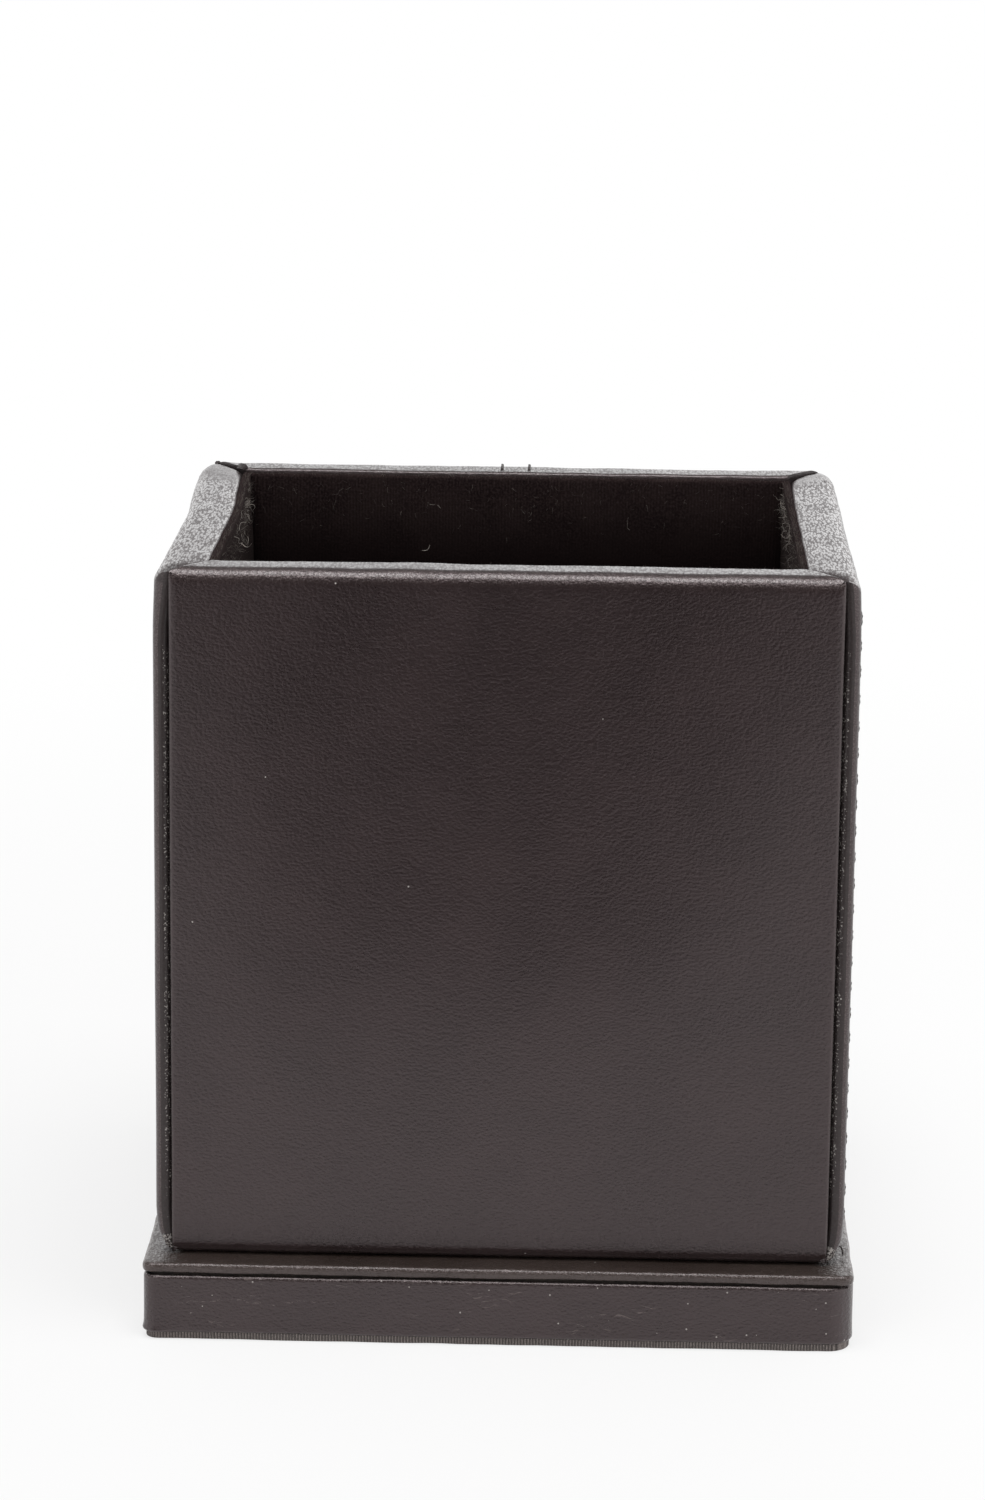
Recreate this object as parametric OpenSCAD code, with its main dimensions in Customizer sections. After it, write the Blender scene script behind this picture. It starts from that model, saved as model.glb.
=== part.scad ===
// Leather-covered pen box: four mitred, leather-wrapped wall panels with a velvet
// lining, standing on a square plinth. Millimetres, +Z up, front towards -Y,
// origin at the middle of the underside.

/* [Box] */
// Outer width across the two side walls
box_w = 87.2; // [60:0.1:140]
// Outer depth from the front face to the back face
box_d = 81.4; // [60:0.1:140]
// Height of the walls above the plinth
wall_h = 88.5; // [50:0.5:160]
// Thickness of the bare wall boards
board_t = 4.7; // [3:0.1:8]
// Flat planed on the sharp outer corners of the wall boards
board_blunt = 0.4; // [0.2:0.1:1]
// Thickness of the floor board
floor_t = 3; // [2:0.1:6]

/* [Leather] */
// Thickness of the cover leather on the outer faces
leather_t = 1.1; // [0.6:0.1:1.8]
// Thickness of the leather where it is pared down for turning in
skive_t = 0.5; // [0.3:0.05:0.8]
// Depth of the turn-in inside the rim
turn_in = 14; // [6:0.5:25]
// How far the corner seams lie in from the side walls' faces
seam_inset = 1.4; // [0:0.1:2]
// Radius of the upright edges of the front and back panels
front_edge_r = 0.45; // [0.2:0.05:1.2]
// Radius of the upright edges of the side panels
side_edge_r = 1.1; // [0.5:0.05:1.3]
// Radius of the outer edge of the rim
rim_r = 2; // [0.8:0.1:2.5]
// Radius of the inner edge of the rim
rim_inner_r = 0.6; // [0.3:0.1:2]
// Radius of the lower outer edge of a panel
foot_r = 1.5; // [0.6:0.1:2]
// Rounding of the edges that stay crisp
crisp_r = 0.1; // [0.05:0.05:0.3]

/* [Lining] */
// Thickness of the velvet lining over the turn-in
lining_t = 1; // [0.6:0.1:2]
// Thickness of the floor lining
floor_lining_t = 1.5; // [0.6:0.1:4]
// How far the lining stops below the rim
lining_reveal = 0.6; // [0.6:0.1:4]
// Rounding of the lining's top edge
lining_r = 0.4; // [0.2:0.05:0.6]
// Gap left round the floor board and the floor lining so that they drop in
floor_gap = 0.1; // [0.05:0.05:0.4]

/* [Plinth] */
// How far the top plate stands out past the side walls
side_step = 1.4; // [0:0.1:15]
// How far the top plate stands out past the front and back walls
front_step = 4.3; // [0:0.1:20]
// Thickness of the top plate with its leather
plate_t = 1.1; // [1:0.1:3]
// Thickness of the leather on the top plate
plate_leather_t = 0.6; // [0.4:0.1:0.8]
// Rounding of the top plate's edge
plate_edge_r = 0.4; // [0.2:0.05:0.5]
// Height of the shadow groove under the top plate
groove_h = 0.6; // [0.3:0.1:1.5]
// Height of the leather band round the plinth
band_h = 7.3; // [4:0.1:15]
// Thickness of the band's leather
band_t = 1; // [0.6:0.1:1.5]
// How far the band stands back under the top plate
band_inset = 0.1; // [0:0.1:1]
// Radius of the plinth's upright corners
plinth_r = 2.2; // [1.8:0.1:5]
// Radius of the top plate's upright corners
plate_r = 1.4; // [1.2:0.1:5]
// Width of the butt seam where the band's two ends meet
band_seam = 0.2; // [0.1:0.05:0.5]
// Thickness of the cloth under the plinth
cloth_t = 1; // [0.5:0.1:2]
// How far the cloth stops short of the band
cloth_inset = 0.6; // [0.1:0.1:1.5]

/* [Stitching] */
// Radius of the sewing thread
thread_r = 0.22; // [0.18:0.01:0.35]
// Length of a stitch between its two holes
stitch_len = 2; // [1.5:0.05:5]
// Distance between the facing holes of two neighbouring stitches
stitch_gap = 1.35; // [0.9:0.05:3]
// Distance of the stitch rows from the upright edges of the right wall
right_row_inset = 3.5; // [3:0.1:15]
// Distance of the stitch rows from the upright edges of the left wall
left_row_inset = 8; // [3:0.1:15]
// Clear height left above and below each row
row_margin = 3; // [2:0.5:10]
// Distance between the two rows down the back wall
back_row_gap = 3.75; // [1.5:0.05:12]
// How far the two back rows sit from the middle of the wall, positive to the right
back_row_shift = -0.7; // [-10:0.1:10]
// Play between the thread and the leather
thread_gap = 0.03; // [0.01:0.01:0.05]
// How far the hole for the thread's end lies from the inner edge of the rim
rim_hole_in = 1.7; // [1.6:0.1:3]

/* [Hidden] */
$fn = 48;

// The four walls, each given by the direction that it faces
FRONT = [0, -1];
RIGHT = [1, 0];
BACK = [0, 1];
LEFT = [-1, 0];

// A wall is measured from its outer face inwards
wall_t = leather_t + board_t + skive_t;
board_back = leather_t + board_t;
lining_face = wall_t + lining_t;
over = 1;

// Outline of the plinth's top plate
plinth_w = box_w + 2 * side_step;
plinth_d = box_d + 2 * front_step;

// Heights from the underside up
board_top = cloth_t + band_h + groove_h;
plinth_h = board_top + plate_t;
card_t = plate_t - plate_leather_t;

// Thread rows
thread_y = -(thread_r + thread_gap);
hole_r = thread_r + thread_gap;
stitch_pitch = stitch_len + stitch_gap;
stitch_reach = stitch_len / 2 + thread_r;
leg_h = leather_t - thread_y - thread_gap;
row_h = wall_h - 2 * row_margin;
stitch_count = floor((row_h - 2 * stitch_reach) / stitch_pitch) + 1;
row_start = wall_h / 2 - (stitch_count - 1) * stitch_pitch / 2;
loop_z = row_start + (stitch_count - 1) * stitch_pitch - stitch_len / 2;
rim_hole_y = wall_t - rim_hole_in;

leather_colour = [0.24, 0.21, 0.21];
lining_colour = [0.11, 0.09, 0.09];
board_colour = [0.62, 0.57, 0.50];
cloth_colour = [0.20, 0.18, 0.18];
thread_colour = [0.07, 0.07, 0.07];

// The front and back walls run across the box
function runs_across(side) = side.x == 0;
function wall_len(side) = runs_across(side) ? box_w : box_d;
function wall_out(side) = (runs_across(side) ? box_d : box_w) / 2;
function wall_edge_r(side) = runs_across(side) ? front_edge_r : side_edge_r;

// How far a mitred end runs in along the wall for each millimetre of depth
seam_lean = (wall_t - seam_inset) / wall_t;
function wall_lean(side) = runs_across(side) ? seam_lean : 1 / seam_lean;

// Half the length of a wall at depth y, along its mitred ends
function mitre_x(side, y) = wall_len(side) / 2 - wall_t + (wall_t - y) * wall_lean(side);

// Angle between a wall's face and its mitred end, and the run of the round between them
function end_angle(side) = atan(1 / wall_lean(side));
function end_run(side) = wall_edge_r(side) / tan(end_angle(side) / 2);

// Puts a wall piece, drawn with its outer face at y = 0 and inwards along +y, on its side
module on_wall(side) {
    rotate([0, 0, atan2(side.y, side.x) - atan2(FRONT.y, FRONT.x)])
        translate([0, -wall_out(side), plinth_h])
            children();
}

// Extrudes a y-z outline along x, centred
module along_x(length) {
    rotate([90, 0, 90])
        linear_extrude(height = length, center = true)
            children();
}

// Extrudes an x-z outline along y, centred
module along_y(length) {
    rotate([90, 0, 0])
        linear_extrude(height = length, center = true)
            children();
}

// A rectangle from (x0, y0) to (x1, y1) with its own radius at each corner:
// lower left, lower right, upper right, upper left
module rounded_box(x0, y0, x1, y1, r) {
    polygon([
        [x0 + r[0], y0], [x1 - r[1], y0],
        [x1, y0 + r[1]], [x1, y1 - r[2]],
        [x1 - r[2], y1], [x0 + r[3], y1],
        [x0, y1 - r[3]], [x0, y0 + r[0]]
    ]);
    translate([x0 + r[0], y0 + r[0]]) circle(r[0]);
    translate([x1 - r[1], y0 + r[1]]) circle(r[1]);
    translate([x1 - r[2], y1 - r[2]]) circle(r[2]);
    translate([x0 + r[3], y1 - r[3]]) circle(r[3]);
}

// A rectangle of the given size round the origin with equal round corners
module rounded_sheet(w, d, r) {
    rounded_box(-w / 2, -d / 2, w / 2, d / 2, [r, r, r, r]);
}

// Plan of a leather-wrapped panel: mitred ends with rounded outer corners
module panel_plan(side) {
    r = wall_edge_r(side);
    run = end_run(side);
    corner = mitre_x(side, 0);
    end_x = corner - run * cos(end_angle(side));
    end_y = run * sin(end_angle(side));
    inner = mitre_x(side, wall_t);
    polygon([
        [-(corner - run), 0], [corner - run, 0],
        [end_x, end_y], [inner, wall_t],
        [-inner, wall_t], [-end_x, end_y]
    ]);
    for (end = [-1, 1])
        translate([end * (corner - run), r])
            circle(r);
}

// Section of a leather-wrapped panel, rounded along the rim and the foot
module panel_section() {
    rounded_box(0, 0, wall_t, wall_h, [foot_r, crisp_r, rim_inner_r, rim_r]);
}

// The whole wrapped panel as one body
module wrapped_panel(side) {
    intersection() {
        linear_extrude(height = wall_h)
            panel_plan(side);
        along_x(wall_len(side))
            panel_section();
    }
}

// Half the length of a bare board at depth y: the leather's pared thickness short of the mitre
function board_x(side, y) = mitre_x(side, y) - skive_t * sqrt(1 + pow(wall_lean(side), 2));

// Plan of a bare board: mitred, with the sharp outer corner planed blunt
module board_plan(side) {
    tip = min(mitre_x(side, 0) - end_run(side), board_x(side, leather_t) - board_blunt);
    tip_y = leather_t + (board_x(side, leather_t) - tip) / wall_lean(side);
    back = board_x(side, board_back);
    polygon([
        [-tip, leather_t], [tip, leather_t], [tip, tip_y],
        [back, board_back], [-back, board_back], [-tip, tip_y]
    ]);
}

// Section of a bare board, eased where the leather turns over it
module board_section() {
    rounded_box(leather_t, skive_t, board_back, wall_h - leather_t, [
        max(crisp_r, foot_r - skive_t), crisp_r,
        max(crisp_r, rim_inner_r - skive_t), max(crisp_r, rim_r - leather_t)
    ]);
}

module wall_board_body(side) {
    intersection() {
        linear_extrude(height = wall_h)
            board_plan(side);
        along_x(wall_len(side))
            board_section();
    }
}

module wall_board(side) {
    color(board_colour)
        on_wall(side)
            wall_board_body(side);
}

// The leather round one board: face, rim, foot, mitre turn-ins and the turn-in inside the rim
module leather_body(side) {
    length = wall_len(side);
    difference() {
        wrapped_panel(side);
        wall_board_body(side);
        translate([-length / 2, board_back, -over])
            cube([length, skive_t + over, wall_h - turn_in + over]);
    }
}

// Height of the middle of a stitch, counted from the lowest one
function stitch_z(i) = row_start + i * stitch_pitch;

// A hole through the face leather at height z
module face_hole(x, z) {
    translate([x, -over, z])
        rotate([-90, 0, 0])
            cylinder(r = hole_r, h = leather_t + over);
}

// Holes for the lowest stitches of an upright row at x along a wall
module row_holes(x, count) {
    for (i = [0 : count - 1], end = [-1, 1])
        face_hole(x, stitch_z(i) + end * stitch_len / 2);
}

module plain_leather(side) {
    color(leather_colour)
        on_wall(side)
            leather_body(side);
}

// A side wall's leather with an upright row of stitch holes at each of the given x
module side_leather(side, rows) {
    color(leather_colour)
        on_wall(side)
            difference() {
                leather_body(side);
                for (x = rows)
                    row_holes(x, stitch_count);
            }
}

// The back wall's leather: the last thread of each row runs over the rim into a hole there
module back_leather() {
    color(leather_colour)
        on_wall(BACK)
            difference() {
                leather_body(BACK);
                for (x = back_rows()) {
                    row_holes(x, stitch_count - 1);
                    face_hole(x, loop_z);
                    translate([x, rim_hole_y, wall_h - leather_t])
                        cylinder(r = hole_r, h = leather_t + over);
                }
            }
}

// Places of the stitch rows along each wall, left to right as seen from outside
function right_rows() = [-(box_d / 2 - right_row_inset), box_d / 2 - right_row_inset];
function left_rows() = [-(box_d / 2 - left_row_inset), box_d / 2 - left_row_inset];
function back_rows() = [-back_row_shift - back_row_gap / 2, -back_row_shift + back_row_gap / 2];

// One stitch: a run along the face and a leg down each of its two holes
module stitch() {
    translate([0, thread_y, -stitch_len / 2])
        cylinder(r = thread_r, h = stitch_len);
    for (end = [-1, 1])
        translate([0, thread_y, end * stitch_len / 2]) {
            sphere(r = thread_r);
            rotate([-90, 0, 0])
                cylinder(r = thread_r, h = leg_h);
        }
}

// The lowest stitches of an upright row at x along a wall
module stitch_row(x, count) {
    for (i = [0 : count - 1])
        translate([x, 0, stitch_z(i)])
            stitch();
}

module side_stitching(side, x) {
    color(thread_colour)
        on_wall(side)
            stitch_row(x, stitch_count);
}

// The last thread of a back row: up the face, over the rim and down into its hole
module rim_loop(x) {
    bend_z = wall_h - rim_r;
    top_z = wall_h + hole_r;
    translate([x, thread_y, loop_z]) {
        sphere(r = thread_r);
        cylinder(r = thread_r, h = bend_z - loop_z);
        rotate([-90, 0, 0])
            cylinder(r = thread_r, h = leg_h);
    }
    translate([x, rim_r, bend_z])
        rotate([90, 0, 90])
            rotate_extrude(angle = 90, start = 90)
                translate([rim_r + hole_r, 0])
                    circle(r = thread_r);
    translate([x, rim_r, top_z])
        rotate([-90, 0, 0])
            cylinder(r = thread_r, h = rim_hole_y - rim_r);
    translate([x, rim_hole_y, top_z]) {
        sphere(r = thread_r);
        translate([0, 0, -leg_h])
            cylinder(r = thread_r, h = leg_h);
    }
}

module back_stitching(x) {
    color(thread_colour)
        on_wall(BACK) {
            stitch_row(x, stitch_count - 1);
            rim_loop(x);
        }
}

// Section of a wall lining, stepped over the turn-in and eased along its top
module lining_section() {
    top = wall_h - lining_reveal;
    difference() {
        rounded_box(board_back, floor_t, lining_face, top, [crisp_r, crisp_r, lining_r, crisp_r]);
        translate([board_back - over, wall_h - turn_in])
            square([skive_t + over, turn_in]);
    }
}

// Its mitred ends follow the panel's as far as the turn-in, and then run at 45 degrees
module wall_lining(side) {
    outer = mitre_x(side, board_back);
    bend = mitre_x(side, wall_t);
    inner = bend - lining_t;
    color(lining_colour)
        on_wall(side)
            intersection() {
                linear_extrude(height = wall_h)
                    polygon([
                        [-outer, board_back], [outer, board_back], [bend, wall_t],
                        [inner, lining_face], [-inner, lining_face], [-bend, wall_t]
                    ]);
                along_x(wall_len(side))
                    lining_section();
            }
}

module floor_board() {
    w = box_w - 2 * (board_back + floor_gap);
    d = box_d - 2 * (board_back + floor_gap);
    color(board_colour)
        translate([-w / 2, -d / 2, plinth_h])
            cube([w, d, floor_t]);
}

module floor_lining() {
    w = box_w - 2 * (lining_face + floor_gap);
    d = box_d - 2 * (lining_face + floor_gap);
    color(lining_colour)
        translate([-w / 2, -d / 2, plinth_h + floor_t])
            cube([w, d, floor_lining_t]);
}

// Width or depth of the plinth's board inside the band
function plinth_core(size) = size - 2 * (band_inset + band_t);

module plinth_core_plan() {
    rounded_sheet(plinth_core(plinth_w), plinth_core(plinth_d), plinth_r - band_t);
}

module plinth_board() {
    color(board_colour)
        translate([0, 0, cloth_t])
            linear_extrude(height = band_h + groove_h)
                plinth_core_plan();
}

module plinth_band() {
    color(leather_colour)
        translate([0, 0, cloth_t])
            linear_extrude(height = band_h)
                difference() {
                    rounded_sheet(plinth_w - 2 * band_inset, plinth_d - 2 * band_inset, plinth_r);
                    plinth_core_plan();
                    translate([-band_seam / 2, 0])
                        square([band_seam, plinth_d]);
                }
}

// The card that stiffens the top plate
module plate_card() {
    color(board_colour)
        translate([0, 0, board_top])
            linear_extrude(height = card_t)
                rounded_sheet(plinth_w - 2 * plate_leather_t, plinth_d - 2 * plate_leather_t,
                              plate_r - plate_leather_t);
}

// The leather over the top plate, wrapped down over the card's edges
module plate_leather() {
    edges = [crisp_r, crisp_r, plate_edge_r, plate_edge_r];
    color(leather_colour)
        difference() {
            intersection() {
                translate([0, 0, board_top])
                    linear_extrude(height = plate_t)
                        rounded_sheet(plinth_w, plinth_d, plate_r);
                along_x(plinth_w)
                    rounded_box(-plinth_d / 2, board_top, plinth_d / 2, plinth_h, edges);
                along_y(plinth_d)
                    rounded_box(-plinth_w / 2, board_top, plinth_w / 2, plinth_h, edges);
            }
            plate_card();
        }
}

module base_cloth() {
    inset = band_inset + cloth_inset;
    color(cloth_colour)
        linear_extrude(height = cloth_t)
            rounded_sheet(plinth_w - 2 * inset, plinth_d - 2 * inset, plinth_r - cloth_inset);
}

wall_board(FRONT);  // front_board
wall_board(RIGHT);  // right_board
wall_board(BACK);  // back_board
wall_board(LEFT);  // left_board
floor_board();
plain_leather(FRONT);  // front_leather
side_leather(RIGHT, right_rows());  // right_leather
back_leather();
side_leather(LEFT, left_rows());  // left_leather
wall_lining(FRONT);  // front_lining
wall_lining(RIGHT);  // right_lining
wall_lining(BACK);  // back_lining
wall_lining(LEFT);  // left_lining
floor_lining();
plinth_board();
plinth_band();
plate_card();
plate_leather();
base_cloth();
side_stitching(RIGHT, right_rows()[0]);  // right_front_stitching
side_stitching(RIGHT, right_rows()[1]);  // right_back_stitching
side_stitching(LEFT, left_rows()[1]);  // left_front_stitching
side_stitching(LEFT, left_rows()[0]);  // left_back_stitching
back_stitching(back_rows()[1]);  // back_left_stitching
back_stitching(back_rows()[0]);  // back_right_stitching
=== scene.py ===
# %% [markdown]
# # A leather pen box, dressed in Blender
# The CAD frame already holds every board, skin, lining and thread of the box at its real size.
# This lesson gives the soft ones the shape that hands and glue gave them, and gives every piece
# its finish. It works in metres in the frame's own axes: X to the right, Y to the back, Z up.

# %% Load the frame and keep its box
import math
import random

import bmesh
import bpy
from mathutils import Matrix, Vector, noise


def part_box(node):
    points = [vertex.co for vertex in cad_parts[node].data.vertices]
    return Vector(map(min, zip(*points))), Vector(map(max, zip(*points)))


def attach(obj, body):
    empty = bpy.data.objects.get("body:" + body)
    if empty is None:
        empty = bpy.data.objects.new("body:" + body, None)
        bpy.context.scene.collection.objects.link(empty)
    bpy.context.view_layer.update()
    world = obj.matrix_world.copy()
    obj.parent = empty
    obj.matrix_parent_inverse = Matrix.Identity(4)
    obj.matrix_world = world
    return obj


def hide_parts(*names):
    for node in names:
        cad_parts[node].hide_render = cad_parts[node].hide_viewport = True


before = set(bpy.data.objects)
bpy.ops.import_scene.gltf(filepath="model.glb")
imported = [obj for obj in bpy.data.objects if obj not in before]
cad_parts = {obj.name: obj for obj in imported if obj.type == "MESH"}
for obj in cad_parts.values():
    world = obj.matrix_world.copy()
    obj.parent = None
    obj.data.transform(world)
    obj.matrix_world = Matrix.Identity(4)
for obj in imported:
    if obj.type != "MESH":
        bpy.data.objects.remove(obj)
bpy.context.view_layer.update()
MM = 0.001

# %% [markdown]
# ## Camera
# The photograph looks down on the box from a little more than half a metre, with a long lens.
# The place and the three turns below were fitted to edges measured in the photograph, so the
# render can be laid over it. The lens follows from the focal length in pixels of the long side.

# %% The camera
IMAGE_TALL = 1500
FOCAL_PIXELS = 4453.34
SENSOR = 36.0
CAMERA_PLACE = Vector((12.22, -575.77, 200.1)) * MM
PITCH, YAW, ROLL = [math.radians(angle) for angle in (13.025, 1.469, 0.639)]

lens = bpy.data.cameras.new("camera")
lens.sensor_width = SENSOR
lens.lens = SENSOR * FOCAL_PIXELS / IMAGE_TALL
lens.clip_start = 0.01
camera = bpy.data.objects.new("camera", lens)
bpy.context.collection.objects.link(camera)
turn = Matrix.Rotation(YAW, 4, "Z") @ Matrix.Rotation(math.pi / 2 - PITCH, 4, "X")
camera.matrix_world = Matrix.Translation(CAMERA_PLACE) @ turn @ Matrix.Rotation(ROLL, 4, "Z")
bpy.context.scene.camera = camera
print("lens in mm:", round(lens.lens, 1))

# %% [markdown]
# ## Node helpers
# Materials are trees of nodes. `feed` fills the inputs of a node by name and `add` makes a node and
# feeds it, so a finish reads as a list of what goes where. Groups hold the effects that several
# finishes share, and they give out only masks and heights; the shader stays in the material.

# %% Adding nodes
def feed(tree, node, sockets):
    """Fills a node's inputs; sockets maps an input to a value or to the output that feeds it."""
    for key, value in sockets.items():
        if isinstance(value, bpy.types.NodeSocket):
            tree.links.new(value, node.inputs[key])
        else:
            node.inputs[key].default_value = value


def add(tree, kind, sockets=None, **settings):
    """Adds a node, sets its options and fills its inputs."""
    node = tree.nodes.new(kind)
    for name, value in settings.items():
        setattr(node, name, value)
    feed(tree, node, sockets or {})
    return node


def start_group(name, inputs, outputs):
    """A node group with a Place vector, float inputs {name: value} and named float outputs."""
    tree = bpy.data.node_groups.new(name, "ShaderNodeTree")
    tree.interface.new_socket("Place", in_out="INPUT", socket_type="NodeSocketVector")
    for label, value in inputs.items():
        socket = tree.interface.new_socket(label, in_out="INPUT", socket_type="NodeSocketFloat")
        socket.default_value = value
    for label in outputs:
        tree.interface.new_socket(label, in_out="OUTPUT", socket_type="NodeSocketFloat")
    return tree, tree.nodes.new("NodeGroupInput").outputs, tree.nodes.new("NodeGroupOutput")


def place_group(tree, group, **sockets):
    """Puts a group into a material and returns its outputs."""
    return add(tree, "ShaderNodeGroup", sockets, node_tree=group).outputs


def start_material(name):
    """A material with its shader, and Object coordinates turned into millimetres."""
    material = bpy.data.materials.new(name)
    material.use_nodes = True
    tree = material.node_tree
    shader = tree.nodes["Principled BSDF"]
    where = add(tree, "ShaderNodeTexCoord").outputs["Object"]
    scaled = add(tree, "ShaderNodeVectorMath", {0: where, 3: 1 / MM}, operation="SCALE").outputs[0]
    return material, tree, shader, scaled


print("node helpers ready")

# %% [markdown]
# The next helpers are the words that the finishes are written in: a little arithmetic, a blend of
# two colours, a smooth step from one level to another, noise, cells, and a height turned into a
# normal. All of them take the tree first and return the output that the next node can use.

# %% Arithmetic
def maths(tree, operation, first, second=0.0, clamp=False):
    node = add(tree, "ShaderNodeMath", {0: first, 1: second}, operation=operation, use_clamp=clamp)
    return node.outputs[0]


def times(tree, first, second, clamp=False):
    return maths(tree, "MULTIPLY", first, second, clamp)


def plus(tree, first, second, clamp=False):
    return maths(tree, "ADD", first, second, clamp)


def most(tree, first, second):
    return maths(tree, "MAXIMUM", first, second)


def per(tree, size):
    """A texture scale from a size in millimetres."""
    return maths(tree, "DIVIDE", 1.0, size)


def mixed(tree, factor, first, second):
    """Blends two colours by a factor."""
    return add(tree, "ShaderNodeMix", {0: factor, 6: first, 7: second}, data_type="RGBA").outputs[2]


def smooth_step(tree, value, low, high, to_low=0.0, to_high=1.0):
    sockets = {"Value": value, "From Min": low, "From Max": high, "To Min": to_low, "To Max": to_high}
    return add(tree, "ShaderNodeMapRange", sockets, interpolation_type="SMOOTHSTEP").outputs[0]


print("arithmetic ready")

# %% Places and textures
def axes_of(tree, place):
    return add(tree, "ShaderNodeSeparateXYZ", {0: place}).outputs


def scaled_by(tree, place, factors):
    """Squeezes or stretches a place by its own factor on each axis."""
    return add(tree, "ShaderNodeVectorMath", {0: place, 1: factors}, operation="MULTIPLY").outputs[0]


def clouded(tree, place, scale, detail, roughness=0.5):
    """Smooth noise."""
    sockets = {"Vector": place, "Scale": scale, "Detail": detail, "Roughness": roughness}
    return add(tree, "ShaderNodeTexNoise", sockets).outputs[0]


def cells(tree, place, scale):
    """Scattered points: the distance to the nearest one, and its random colour."""
    return add(tree, "ShaderNodeTexVoronoi", {"Vector": place, "Scale": scale}).outputs


def relief(tree, height, depth, strength=1.0):
    """Turns a height into a normal; the depth is in millimetres."""
    sockets = {"Strength": strength, "Distance": depth * MM, "Height": height}
    return add(tree, "ShaderNodeBump", sockets).outputs[0]


def attribute(tree, name):
    """A value that the mesh carries on its vertices."""
    return add(tree, "ShaderNodeAttribute", attribute_name=name).outputs["Fac"]


print("textures ready")

# %% [markdown]
# ## Shared effects
# Smooth calf leather shows several scales: pebbles of about a third of a millimetre, finer pores
# between them, long shallow wrinkles, and slow clouds where the dye took differently. Where the skin
# is pulled over an edge, small pits open between the pebbles; they come from cells that can be drawn
# out along Y, the way the side rims are pulled. The dents of the wrinkles are lines where a noise
# crosses its middle.

# %% Leather grain
grain, source, sink = start_group(
    "leather_grain",
    {"Pebble": 0.35, "Pores": 0.16, "Clouds": 14.0, "Furrows": 0.1, "Drawn": 0.5},
    ("Height", "Cloud", "Pore", "Pit"),
)
spot = source["Place"]
pebbles = cells(grain, scaled_by(grain, spot, (0.72, 0.72, 1.0)), per(grain, source["Pebble"]))
domes = maths(grain, "SUBTRACT", 1.0, pebbles["Distance"])
pores = clouded(grain, spot, per(grain, source["Pores"]), 2.0)
rough = clouded(grain, spot, 1.15, 3.0)
fine = plus(grain, times(grain, pores, 0.8), times(grain, rough, 0.3))
wrinkles = clouded(grain, scaled_by(grain, spot, (0.4, 0.4, 1.25)), 1.0, 2.0)
from_line = maths(grain, "ABSOLUTE", maths(grain, "SUBTRACT", wrinkles, 0.5))
furrows = times(grain, smooth_step(grain, from_line, 0.0, 0.07, -1.0, 0.0), source["Furrows"])
pull = add(grain, "ShaderNodeCombineXYZ", {0: 1.0, 1: source["Drawn"], 2: 1.0}).outputs[0]
pits = cells(grain, scaled_by(grain, spot, pull), 3.6)["Distance"]
feed(grain, sink, {
    "Height": plus(grain, plus(grain, domes, fine), furrows),
    "Cloud": clouded(grain, spot, per(grain, source["Clouds"]), 5.0, 0.6),
    "Pore": smooth_step(grain, pores, 0.3, 0.62),
    "Pit": smooth_step(grain, pits, 0.36, 0.66),
})
print("group:", grain.name, [item.name for item in grain.interface.items_tree])

# %% [markdown]
# Dust is a handful of pale specks: scattered points, of which a share is chosen by their random
# colour, each grown to a small dot.

# %% Dust specks
dust, source, sink = start_group("dust_specks", {"Spacing": 4.0, "Speck": 0.14, "Share": 0.3}, ("Mask",))
points = cells(dust, source["Place"], per(dust, source["Spacing"]))
reach = times(dust, points["Distance"], source["Spacing"])
inside = maths(dust, "LESS_THAN", reach, source["Speck"])
chance = add(dust, "ShaderNodeSeparateColor", {0: points["Color"]}).outputs[0]
chosen = maths(dust, "LESS_THAN", chance, source["Share"])
feed(dust, sink, {"Mask": times(dust, inside, chosen)})
print("group:", dust.name)

# %% [markdown]
# Scuffs are short bright scratches that lie in loose groups. A noise that is long along the surface
# and narrow up the wall gives streaks; bending the place first keeps them from running straight, and
# a slow noise lets them through in patches only.

# %% Scuffs
scuff, source, sink = start_group("scuffs", {"Length": 2.2, "Width": 0.16, "Share": 0.4}, ("Mask",))
bend = add(scuff, "ShaderNodeTexNoise", {"Vector": source["Place"], "Scale": 0.45, "Detail": 1.0})
shift = add(scuff, "ShaderNodeVectorMath", {0: bend.outputs["Color"], 3: 1.6}, operation="SCALE").outputs[0]
bent_place = add(scuff, "ShaderNodeVectorMath", {0: source["Place"], 1: shift}, operation="ADD").outputs[0]
along = per(scuff, source["Length"])
narrow = per(scuff, source["Width"])
stretch = add(scuff, "ShaderNodeCombineXYZ", {0: along, 1: along, 2: narrow}).outputs[0]
streaks = clouded(scuff, scaled_by(scuff, bent_place, stretch), 1.0, 1.0)
lines = smooth_step(scuff, streaks, 0.66, 0.74)
limit = maths(scuff, "SUBTRACT", 1.0, source["Share"])
patches = clouded(scuff, source["Place"], 0.11, 1.0)
patch = smooth_step(scuff, patches, limit, plus(scuff, limit, 0.1))
feed(scuff, sink, {"Mask": times(scuff, lines, patch)})
print("group:", scuff.name)
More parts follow.
